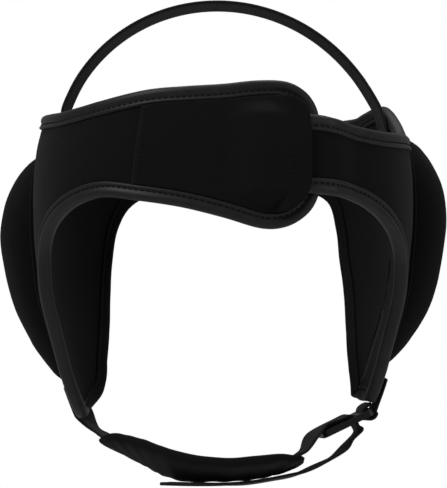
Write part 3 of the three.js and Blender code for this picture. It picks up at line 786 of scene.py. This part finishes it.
def webbing_material(name, grey):
    """Woven webbing: ribs across the strap with lengthwise rows of weave between them."""
    finish, tree, shader = shader_tree(name)
    surface = scaled_surface(tree, along=1.25, across=1.6)
    ribs = sine_ribs(tree, surface, "X")
    rows = sine_ribs(tree, surface, "Y")
    weave = math_node(tree, "MAXIMUM", ribs, math_node(tree, "MULTIPLY", rows, 0.8))
    mottle = noise_value(tree, size=6)
    tone = math_node(tree, "MULTIPLY", math_node(tree, "ADD", weave, mottle), 0.55)
    shade(tree, shader, tone, grey, darkest=0.55)
    tree.links.new(spread(tree, mottle, low=0.55, high=0.75), shader.inputs["Roughness"])
    fuzz = noise_value(tree, size=0.35, detail=2)
    fibre = bump(tree, fuzz, strength=0.25, depth=0.06)
    woven = bump(tree, weave, strength=0.6, depth=0.22, below=fibre)
    tree.links.new(woven, shader.inputs["Normal"])
    shader.inputs["Specular IOR Level"].default_value = 0.2
    shader.inputs["Sheen Weight"].default_value = 0.04
    return finish


def thread_material(name, grey):
    finish, tree, shader = shader_tree(name)
    twist = noise_value(tree, size=0.4, detail=2)
    shade(tree, shader, twist, grey, darkest=0.6)
    tree.links.new(spread(tree, twist, low=0.5, high=0.7), shader.inputs["Roughness"])
    twisted = bump(tree, twist, strength=0.4, depth=0.08)
    tree.links.new(twisted, shader.inputs["Normal"])
    shader.inputs["Specular IOR Level"].default_value = 0.2
    return finish


def plastic_material(name, grey):
    """Moulded plastic with a fine spark-eroded grain and scuffed patches."""
    finish, tree, shader = shader_tree(name)
    scuff = noise_value(tree, size=3.5)
    shade(tree, shader, scuff, grey, darkest=0.75)
    tree.links.new(spread(tree, scuff, low=0.3, high=0.48), shader.inputs["Roughness"])
    grain = bump(tree, noise_value(tree, size=0.3), strength=0.12, depth=0.05)
    tree.links.new(grain, shader.inputs["Normal"])
    shader.inputs["Specular IOR Level"].default_value = 0.4
    return finish


neoprene = knit_material("neoprene_knit", (0.0068, 0.0068, 0.0072), loop=0.9)
face_cloth = knit_material("patch_knit", (0.0066, 0.0066, 0.007), loop=0.9)
cup_cloth = knit_material(
    "cup_knit", (0.0042, 0.0042, 0.0046), loop=0.8, specular=0.07, sheen=0.03
)
edge_tape = tape_material(
    "edge_tape", (0.019, 0.019, 0.0198), low_rough=0.38, high_rough=0.5, specular=0.26
)
rear_tape = tape_material(
    "rear_tape", (0.006, 0.006, 0.0063), low_rough=0.6, high_rough=0.75, specular=0.1
)
strap_cloth = webbing_material("strap_weave", (0.0095, 0.0095, 0.01))
thread = thread_material("thread", (0.0022, 0.0022, 0.0024))
moulding = plastic_material("moulded_plastic", (0.008, 0.008, 0.0085))


# Panels.


def panel_object(name, rows, side, lift_at):
    """A neoprene panel: a rim under the tape round a slightly swollen field."""
    rim_top, rim_low = facing_edges(rows, side, PANEL_INSET, PANEL_STEPS)
    top, low = facing_edges(rows, side, TAPE_LEG, PANEL_STEPS)
    shares = np.linspace(0, 1, PANEL_COLUMNS)[None, :, None]
    field = top[:, None] + (low - top)[:, None] * shares
    columns = np.concatenate([rim_top[:, None], field, rim_low[:, None]], axis=1)
    end_field = rim_top[0] + (rim_low[0] - rim_top[0]) * shares[0]
    end = np.concatenate([rim_top[:1], end_field, rim_low[:1]])
    spots = np.concatenate([end[None], columns])
    lift = lift_at(spots[..., 0])
    middle = form_point(spots, lift)
    column = np.arange(PANEL_COLUMNS + 2)
    swell = np.clip(np.minimum(column, column[::-1]) / SWELL_COLUMNS, 0, 1)[None, :]
    wave = unevenness(middle, PANEL_WAVES)
    outer = form_point(spots, lift + PANEL_HALF + swell * (PANEL_SWELL + wave))
    inner = form_point(spots, lift - PANEL_HALF - swell * (PANEL_SWELL - wave))
    piece = slab_object(name, outer, inner, neoprene)
    return piece


def tape_section():
    """Section of the folded tape: inset from the edge, and lift off the panel's middle."""
    outside = np.array([
        [7.15, 1.55], [7.20, 2.15], [6.95, 2.70], [6.40, 2.98], [5.85, 2.85], [5.45, 2.40],
        [5.05, 2.12], [4.60, 2.25], [4.15, 2.65], [3.40, 3.00], [2.40, 3.10], [1.45, 2.90],
        [0.65, 2.35], [0.18, 1.40],
    ])
    nose = np.array([[0.0, 0.0]])
    return np.concatenate([outside, nose, outside[::-1] * [1, -1]])


def tape_object(name, chain, lift_at, finish):
    inward = inward_along(chain)
    section = tape_section()
    places = [slide(chain, inward, inset) for inset, _ in section]
    rings = [
        form_point(place, lift_at(place[..., 0]) + lift)
        for place, (_, lift) in zip(places, section)
    ]
    return tube_object(name, np.stack(rings, axis=1), finish)


def tape_stitch_paths(chain, lift_at):
    """Paths of the thread in the tape's groove, outside and inside."""
    place = slide(chain, inward_along(chain), STITCH_INSET)
    out = form_axes(place)[2]
    height = lift_at(place[..., 0])
    return [(form_point(place, height + sign * STITCH_LIFT), out * sign) for sign in (1, -1)]


def tip_hem_chain():
    reach = TAPE_LEG + GAP
    rear_angle, rear_drop = RIGHT_EDGES[REAR_CORNER_ROW, 2:]
    rear = np.array([rear_angle, -rear_drop * GUARD_DROP])
    front = np.array([RIGHT_EDGES[FRONT_CORNER_ROW, 2], RIGHT_TIP_Z])
    run = unit(form_middle(front) - form_middle(rear))
    start = slide(rear, run, reach)
    end = slide(front, run, -reach)
    return start + (end - start) * np.linspace(0, 1, HEM_PLACES)[:, None]


def patch_spots():
    top, low = facing_edges(LEFT_EDGES, -1, TAPE_LEG + GAP, TAPE_STEPS)
    count = int(np.argmax(top[:, 0] < PATCH_START))
    shares = np.linspace(0, 1, PATCH_COLUMNS)
    spots = top[:count, None] + (low[:count] - top[:count])[:, None] * shares[None, :, None]
    return spots, shares


def patch_lift(angle, share):
    """Lift of the middle of the pocket face, sewn at its edges and raised over the band."""
    sewn = PANEL_HALF + GAP + PATCH_WALL / 2
    raised = OVERLAP_LIFT + TAPE_LIFT + GAP + PATCH_WALL / 2
    along = ease((angle - POCKET_RISE_END) / POCKET_RISE + 1)
    across = ease(share / SEWN_SHARE) * ease((1 - share) / SEWN_SHARE)
    corner = ease((angle - MOUTH_START) / MOUTH_RISE)
    return sewn + (raised - sewn) * along * np.maximum(across, corner)


def patch_object():
    spots, shares = patch_spots()
    lift = patch_lift(spots[..., 0], shares[None, :])
    middle = form_point(spots, lift)
    loose = ease(shares / EVEN_SHARE) * ease((1 - shares) / EVEN_SHARE)
    wave = unevenness(middle, PATCH_WAVES) * loose
    outer = form_point(spots, lift + PATCH_WALL / 2 + wave)
    inner = form_point(spots, lift - PATCH_WALL / 2 + wave)
    return slab_object("front_patch_cloth", outer, inner, face_cloth)


def patch_stitch_paths():
    """Threads down the patch at the pocket's mouth and beside its sewn end."""
    paths = []
    spots, shares = patch_spots()
    for angle in (MOUTH_STITCH, END_STITCH):
        row = int(np.argmin(np.abs(spots[:, PATCH_COLUMNS // 2, 0] - angle)))
        line = spots[row]
        lift = patch_lift(line[:, 0], shares) + PATCH_WALL / 2
        out = form_axes(line)[2]
        paths.append((form_point(line, lift)[1:-1], out[1:-1]))
    return paths


# Ear cups.


def cup_spots(side, cup, rings, spokes):
    drop, peak_lift = cup
    turn = np.linspace(0, 2 * math.pi, spokes + 1)[:-1][:, None]
    ring = np.asarray(rings)[None, :]
    width = CUP_HALF_WIDTH * (1 + CUP_TAPER * np.sin(turn))
    setback = CUP_SETBACK + ring * (CUP_LEAN * np.sin(turn) + width * np.cos(turn))
    height = (1 - ring) * peak_lift + ring * CUP_HALF_HEIGHT * np.sin(turn)
    return spot_behind(side, setback, height - drop)


def cup_object(name, side, cup):
    """A padded dome, rounded down to its seam, with soft unevenness."""
    rim = 1 - CUP_RIM * np.linspace(0, 1, CUP_RIM_RINGS) ** 2
    rings = np.concatenate([rim, np.linspace(1 - CUP_RIM, 0, CUP_DOME_RINGS)[1:]])
    spots = cup_spots(side, cup, rings, CUP_SPOKES)
    dome = (CUP_RISE + CUP_SWELL) * (1 - rings ** 2) ** CUP_ROUNDING
    base = form_point(spots, CUP_SEAT + dome[None, :])
    wave = unevenness(base, CUP_WAVES) * np.clip(dome / CUP_EVEN_RISE, 0, 1)[None, :]
    outer = form_point(spots, CUP_SEAT + dome[None, :] + wave)
    inner = form_point(spots, CUP_SEAT)
    piece = slab_object(name, outer, inner, cup_cloth, ring_along=True)
    return piece


def cup_piping(name, side, cup):
    spots = cup_spots(side, cup, [1.0], CUP_EDGE_SPOKES)[:, 0]
    centre = form_point(spots, PIPING_LIFT)
    out = form_axes(spots)[2]
    run = unit(np.roll(centre, -1, axis=0) - np.roll(centre, 1, axis=0))
    across = unit(np.cross(out, run))
    turns = np.linspace(0, 2 * math.pi, PIPING_SIDES + 1)[:-1]
    rings = np.stack([
        centre + PIPING_RADIUS * (across * math.cos(turn) + out * math.sin(turn))
        for turn in turns
    ], axis=1)
    tube_object(name, rings, cup_cloth, closed=True)


def cup_stitch_path(side, cup):
    spots = cup_spots(side, cup, [CUP_STITCH_RING], CUP_EDGE_SPOKES + 1)[:, 0]
    spots = np.concatenate([spots, spots[:1]])
    return form_point(spots, CUP_STITCH_LIFT), form_axes(spots)[2]


# Straps.


def chin_points(rows):
    low = np.array([0, 0, -GUARD_DROP])
    return low + rows[..., :3] * [CHIN_HALF_SPAN, -CHIN_FORWARD, -CHIN_SAG]


def chin_stops(rows):
    tilt = np.radians(rows[:, 3])
    across = np.stack([np.zeros(len(rows)), np.cos(tilt), -np.sin(tilt)], axis=-1)
    return list(zip(chin_points(rows), across, [None] * len(rows)))


def sewn_stop(side, setback, z, lift):
    """A stop of a strap that is sewn on a panel, with its points across the strap."""
    spot = spot_behind(side, setback, z)
    rearward = unit(form_axes(spot)[0] * side)
    shares = np.array([-0.5, 0, 0.5])
    line = np.stack([slide(spot, rearward, share * WEBBING_WIDTH) for share in shares])
    edges = form_point(line, lift)
    return edges[1], rearward, edges


def sewn_stops(side, setback, edge_z, seam, lift, shares=(1, 0.5, 0.05)):
    """Stops of a strap over its sewn length, up to the edge of the panel."""
    return [sewn_stop(side, setback, edge_z + share * seam, lift) for share in shares]


def strap_grid(stops):
    """Three points across the strap at each stop, from its front edge to its rear edge."""
    grid = []
    for i, (middle, across, edges) in enumerate(stops):
        if edges is None:
            before = stops[max(i - 1, 0)][0]
            after = stops[min(i + 1, len(stops) - 1)][0]
            run = unit(after - before)
            level = unit(across - run * (across @ run))
            shares = np.array([-0.5, 0, 0.5])[:, None]
            edges = middle + level * shares * WEBBING_WIDTH
        grid.append(edges)
    return np.array(grid)


def strap_object(name, stops, steps=8):
    """A woven strap with rounded edges through its stops."""
    coarse = strap_grid(stops)
    fine = row_at(coarse, np.linspace(0, len(coarse) - 1, steps * (len(coarse) - 1) + 1))
    shares = np.array([0, 0.012, 0.045, 0.12, 0.3, 0.5, 0.7, 0.88, 0.955, 0.988, 1])
    thick = np.array([0.25, 0.72, 0.95, 1, 0.96, 0.94, 0.96, 1, 0.95, 0.72, 0.25])
    half = np.where(shares < 0.5, shares * 2, (shares - 0.5) * 2)[None, :, None]
    front = np.where(shares < 0.5, 0, 1)
    start = fine[:, front]
    grid = start + (fine[:, front + 1] - start) * half
    along = np.gradient(grid, axis=0)
    across = (fine[:, 2] - fine[:, 0])[:, None] + np.zeros_like(grid)
    normals = unit(np.cross(along, across))
    offset = normals * (WEBBING_WALL / 2) * thick[None, :, None]
    return slab_object(name, grid + offset, grid - offset, strap_cloth)


def edge_height(rows, column, angle):
    """Height of a panel's edge at an angle, the top edge in column 0 or the low one in column 2."""
    order = np.argsort(rows[:, column])
    return -row_where(rows[order], column, angle)[column + 1] * GUARD_DROP


def crown_half(side, rows):
    """Stops of the crown strap from its sewn end to the top of the head."""
    edge_z = edge_height(rows, 0, side * CROWN_ANGLE)
    sewn = sewn_stops(side, CROWN_SETBACK, edge_z, -CROWN_SEAM, -STRIP_LIFT, (1, 0.5, 0.1))
    start = form_point(spot_behind(side, CROWN_SETBACK, edge_z), -STRIP_LIFT)
    half_span = abs(start[0])
    rise = WEBBING_WALL / 2 - edge_z
    radius = (half_span ** 2 + rise ** 2) / (2 * rise)
    reach = math.asin(half_span / radius)
    tilt = math.radians(CROWN_TILT)
    arc = []
    for i in range(CROWN_STOPS):
        turn = reach * (1 - (i + 0.25) / (CROWN_STOPS - 0.75)) * side
        outward = np.array([math.sin(turn), 0, math.cos(turn)])
        middle = np.array([0, CROWN_SETBACK, WEBBING_WALL / 2 - radius]) + outward * radius
        share = (math.cos(turn) - math.cos(reach)) / (1 - math.cos(reach))
        middle[0] -= CROWN_LEAN * math.sqrt(share)
        across = np.array([0, math.cos(tilt), 0]) - outward * math.sin(tilt)
        arc.append((middle, across, None))
    return sewn + arc


def adjuster_axes():
    run = unit(np.array(ADJUSTER_RUN, float))
    level = np.array([0.0, 1.0, 0.0])
    across = unit(level - run * (level @ run))
    return run, across, unit(np.cross(run, across))


BAR_BEND = ADJUSTER_WALL / 2 + GAP + WEBBING_WALL / 2
TAB_BEND = math.hypot(TAB_BAR / 2, ADJUSTER_WALL / 2) + GAP + WEBBING_WALL / 2
TAB_SLOT = TAB_BEND + WEBBING_WALL / 2 + GAP - TAB_BAR / 2
STRAP_SLOT = BAR_BEND + WEBBING_WALL / 2 + GAP
GRIP_BAR_START = TAB_BAR + TAB_SLOT + CROSS_BAR + STRAP_SLOT
ADJUSTER_LENGTH = GRIP_BAR_START + GRIP_BAR + THUMB_SLOT + THUMB_LIP


def adjuster_place():
    run = adjuster_axes()[0]
    tip = sewn_stop(1, TAB_SETBACK, RIGHT_TIP_Z, STRIP_LIFT)[0]
    hang = np.array([-TAB_BEND - TAB_INWARD, 0, -(TAB_BEND + WEBBING_WALL / 2 + TAB_DROP)])
    return tip + hang - run * TAB_BAR / 2


def adjuster_point(along, outward, sideways=0):
    run, across, out = adjuster_axes()
    return adjuster_place() + run * along + out * outward + across * sideways


def adjuster_stop(along, outward):
    return adjuster_point(along, outward), adjuster_axes()[1], None


def chin_strap_stops():
    edge_z = edge_height(LEFT_EDGES, 2, LEFT_TIP_ANGLE)
    sewn = sewn_stops(-1, LEFT_SEAM_SETBACK, edge_z, LEFT_SEAM, STRIP_LIFT)
    in_sleeve = SLEEVE_ROWS[1:8]
    free = chin_stops(np.concatenate([LEFT_APPROACH, in_sleeve, RIGHT_APPROACH]))
    beside = [
        adjuster_stop(along, -BAR_BEND)
        for along in (ADJUSTER_LENGTH, GRIP_BAR_START + GRIP_BAR)
    ]
    turned = [
        adjuster_stop(GRIP_BAR_START - BAR_BEND * math.sin(turn), -BAR_BEND * math.cos(turn))
        for turn in np.radians([0, 30, 60, 90])
    ]
    leaving = [
        adjuster_stop(GRIP_BAR_START - BAR_BEND, bends * BAR_BEND)
        for bends in LEAVING_BENDS
    ]
    return [*sewn, *free, *beside, *turned, *leaving, *chin_stops(TAIL_ROWS)]


def tab_stops():
    sewn = sewn_stops(1, TAB_SETBACK, RIGHT_TIP_Z, TAB_SEAM, STRIP_LIFT)
    turned = [
        adjuster_stop(TAB_BAR / 2 + TAB_BEND * math.sin(turn), TAB_BEND * math.cos(turn))
        for turn in np.radians([-90, -50, -10, 35, 90, 135, 180])
    ]
    return [*sewn, *turned, adjuster_stop(-TAB_RETURN, -TAB_BEND)]


def bowed(value, power):
    """A cosine or sine bent towards a rounded rectangle."""
    return np.sign(value) * np.abs(value) ** (2 / power)


def sleeve_axes(place):
    """Middle of the sleeve at places between its rows, with its level and upward directions."""
    step = 0.1
    rows = row_at(SLEEVE_ROWS, place)
    ahead = chin_points(row_at(SLEEVE_ROWS, place + step))
    run = unit(ahead - chin_points(row_at(SLEEVE_ROWS, place - step)))
    tilt = np.radians(rows[..., 3])
    level = np.stack([np.zeros_like(tilt), np.cos(tilt), -np.sin(tilt)], axis=-1)
    width = unit(level - run * (level * run).sum(-1, keepdims=True))
    return chin_points(rows), width, np.cross(run, width)


def sleeve_face(half_width, half_height, power, creased):
    """The outside or the slot of the sleeve: rings that slant at its open ends."""
    turn = np.linspace(0, 2 * math.pi, SLEEVE_SIDES + 1)[:-1]
    across = half_width * bowed(np.cos(turn), power)
    up = half_height * bowed(np.sin(turn), power)
    row_length = np.linalg.norm(np.diff(chin_points(SLEEVE_ROWS)[:2], axis=0))
    share = (up / SLEEVE_HALF_HEIGHT + 1) / 2 / row_length
    first = SLEEVE_LEFT_SCARF * share
    final = len(SLEEVE_ROWS) - 1 - SLEEVE_RIGHT_SCARF * share
    place = first + (final - first) * np.linspace(0, 1, SLEEVE_STEPS + 1)[:, None]
    height = np.broadcast_to(up, place.shape).copy()
    if creased:
        crease = np.sin(place * CREASE_PACE + CREASE_SLANT * across)
        crease *= np.sin(place * CREASE_FADE + 1)
        ends = ease(np.minimum(place - first, final - place) / SLEEVE_END_RUN)
        crease *= np.where(up < 0, 1, SLEEVE_TOP_CREASE)
        height += ends * SLEEVE_SWELL * (np.sign(up) + crease)
    middle, width, above = sleeve_axes(place)
    return middle + width * across[None, :, None] + above * height[..., None]


def sleeve_object():
    """A padded tube with open slanted ends, creased across underneath."""
    outer = sleeve_face(SLEEVE_HALF_WIDTH, SLEEVE_HALF_HEIGHT, SLEEVE_OUTER_POWER, True)
    inner = sleeve_face(SLEEVE_SLOT_HALF_WIDTH, SLEEVE_SLOT_HALF, SLEEVE_SLOT_POWER, False)
    piece = slab_object(
        "chin_sleeve_cloth", outer, inner, face_cloth, ring_across=True
    )
    return piece


def adjuster_object():
    """The moulded ladder adjuster of the solids with rounded edges."""
    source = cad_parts["strap_adjuster"]
    mesh = source.data.copy()
    mesh.materials.clear()
    mesh.materials.append(moulding)
    work = bmesh.new()
    work.from_mesh(mesh)
    bmesh.ops.remove_doubles(work, verts=work.verts, dist=MERGE_DISTANCE / 2 * MM)
    bmesh.ops.dissolve_limit(
        work, angle_limit=math.radians(1), verts=work.verts, edges=work.edges
    )
    work.to_mesh(mesh)
    work.free()
    piece = linked_object("ladder_adjuster", mesh)
    bevel = piece.modifiers.new("rounded_edges", "BEVEL")
    bevel.width = MOULDING_ROUND * MM
    bevel.segments = 3
    bevel.limit_method = "ANGLE"
    bevel.angle_limit = math.radians(40)
    for face in mesh.polygons:
        face.use_smooth = True
    smooth = piece.modifiers.new("even_shading", "WEIGHTED_NORMAL")
    smooth.keep_sharp = True
    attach(piece, "root")
    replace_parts(piece, "strap_adjuster")


def adjuster_ridges():
    """Grip ridges across the thumb lip, on its outer face."""
    vertices = []
    faces = []
    start = ADJUSTER_LENGTH - THUMB_LIP + RIDGE_SETBACK
    for ridge in range(RIDGE_COUNT):
        faces += ring_faces(len(vertices), RIDGE_RINGS, RIDGE_SIDES)
        for sideways in np.linspace(-RIDGE_HALF, RIDGE_HALF, RIDGE_RINGS):
            taper = 1 - RIDGE_TAPER * (abs(sideways) / RIDGE_HALF) ** 6
            for turn in np.linspace(0, math.pi, RIDGE_SIDES):
                along = start + ridge * RIDGE_PITCH + RIDGE_RADIUS * math.cos(turn)
                lift = ADJUSTER_WALL / 2 - RIDGE_SUNK + RIDGE_RADIUS * taper * math.sin(turn)
                vertices.append(adjuster_point(along, lift, sideways))
    flat = np.array(vertices)
    new_object("adjuster_ridges", flat, faces, flat[:, :2], moulding)


# Build.


def build_panels():
    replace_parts(panel_object("left_panel_cloth", LEFT_EDGES, -1, no_lift), "left_panel")
    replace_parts(panel_object("right_panel_cloth", RIGHT_EDGES, 1, right_lift), "right_panel")
    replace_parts(patch_object(), "front_patch")


def build_tapes():
    """The tapes along the panels' edges, darker behind the tips, and the threads through them."""
    left_chain = edge_chain(LEFT_EDGES, -1, TAPE_STEPS)
    behind_tip = edge_places(LEFT_EDGES, TAPE_STEPS) >= LEFT_TIP_ROW
    tip = len(left_chain) - int(np.sum(behind_tip))
    right_chain = edge_chain(RIGHT_EDGES, 1, TAPE_STEPS)
    places = edge_places(RIGHT_EDGES, TAPE_STEPS)[::-1]
    rear_corner = int(np.argmin(np.abs(places - REAR_CORNER_ROW)))
    front_corner = int(np.argmin(np.abs(places - FRONT_CORNER_ROW)))
    front_chain = right_chain[front_corner:]
    rear_chain = right_chain[:rear_corner + 1]
    hem_chain = tip_hem_chain()

    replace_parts(tape_object("left_edge_tape", left_chain[:tip + 1], no_lift, edge_tape), "left_binding")
    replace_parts(tape_object("left_rear_tape", left_chain[tip:], no_lift, rear_tape), "left_binding")
    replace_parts(tape_object("right_edge_tape", front_chain, right_lift, edge_tape), "right_binding")
    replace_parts(tape_object("right_rear_tape", rear_chain, no_lift, rear_tape), "right_rear_binding")
    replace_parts(tape_object("tip_hem_tape", hem_chain, no_lift, rear_tape), "right_tip_hem")
    for name, chain, lift_at in (
        ("left_tape_stitches", left_chain, no_lift),
        ("right_tape_stitches", front_chain, right_lift),
        ("rear_tape_stitches", rear_chain, no_lift),
        ("tip_hem_stitches", hem_chain, no_lift),
    ):
        stitch_object(name, tape_stitch_paths(chain, lift_at), TAPE_THREAD)
    stitch_object("patch_stitches", patch_stitch_paths(), PATCH_THREAD)


def build_cups():
    for name, side, cup, node in (
        ("left_cup", -1, LEFT_CUP, "left_ear_cup"),
        ("right_cup", 1, RIGHT_CUP, "right_ear_cup"),
    ):
        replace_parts(cup_object(name + "_dome", side, cup), node)
        cup_piping(name + "_piping", side, cup)
        path = cup_stitch_path(side, cup)
        stitch_object(name + "_stitches", [path], CUP_THREAD)


def build_straps():
    left = crown_half(-1, LEFT_EDGES)
    right = crown_half(1, RIGHT_EDGES)[:-1][::-1]
    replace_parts(strap_object("crown_webbing", left + right), "crown_strap")
    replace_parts(strap_object("chin_webbing", chin_strap_stops()), "chin_strap")
    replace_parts(strap_object("tab_webbing", tab_stops()), "adjuster_tab")
    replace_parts(sleeve_object(), "chin_sleeve")
    adjuster_object()
    adjuster_ridges()


def studio_camera():
    data = bpy.data.cameras.new("camera")
    data.sensor_fit = "HORIZONTAL"
    data.sensor_width = SENSOR_WIDTH
    data.lens = SENSOR_WIDTH * CAMERA_DISTANCE / (PHOTO_PIXELS * PIXEL_SIZE)
    camera = linked_object("camera", data)
    camera.location = (CAMERA_ACROSS, -CAMERA_DISTANCE - CROWN_SETBACK * MM, CAMERA_HEIGHT)
    camera.rotation_euler = (math.radians(90), 0, 0)
    bpy.context.scene.camera = camera


def area_light(name, place, target, size, power):
    data = bpy.data.lights.new(name, "AREA")
    data.shape = "RECTANGLE"
    data.size, data.size_y = size
    data.energy = power
    lamp = linked_object(name, data)
    lamp.location = place
    aim = Vector(target) - Vector(place)
    lamp.rotation_euler = aim.to_track_quat("-Z", "Y").to_euler()


def white_surroundings():
    """White all round for the camera, and much weaker as a light."""
    world = bpy.data.worlds.new("studio")
    world.use_nodes = True
    tree = world.node_tree
    background = tree.nodes["Background"]
    background.inputs["Color"].default_value = (1, 1, 1, 1)
    rays = add_node(tree, "ShaderNodeLightPath")
    strength = spread(tree, rays.outputs["Is Camera Ray"], low=AMBIENT, high=1.0)
    tree.links.new(strength, background.inputs["Strength"])
    bpy.context.scene.world = world
    bpy.context.scene.view_settings.view_transform = "Standard"


def floor_material():
    finish, tree, shader = shader_tree("pale_floor")
    mottle = noise_value(tree, size=400)
    tone = ramp(tree, mottle, (0.9, 0.9, 0.9), (0.92, 0.92, 0.92))
    tree.links.new(tone, shader.inputs["Base Color"])
    shader.inputs["Roughness"].default_value = 0.9
    return finish


def pale_floor():
    """A plain pale floor well below the guard."""
    corners = [
        (side * FLOOR_REACH, depth * FLOOR_REACH, FLOOR_HEIGHT)
        for side, depth in ((-1, -1), (1, -1), (1, 1), (-1, 1))
    ]
    mesh = bpy.data.meshes.new("floor")
    mesh.from_pydata(corners, [], [(0, 1, 2, 3)])
    mesh.materials.append(floor_material())
    floor = linked_object("floor", mesh)


studio_camera()
build_panels()
build_tapes()
build_cups()
build_straps()
white_surroundings()
pale_floor()
for lamp_name, place, size, power in LAMPS:
    area_light(lamp_name, place, LAMP_TARGET, size, power)
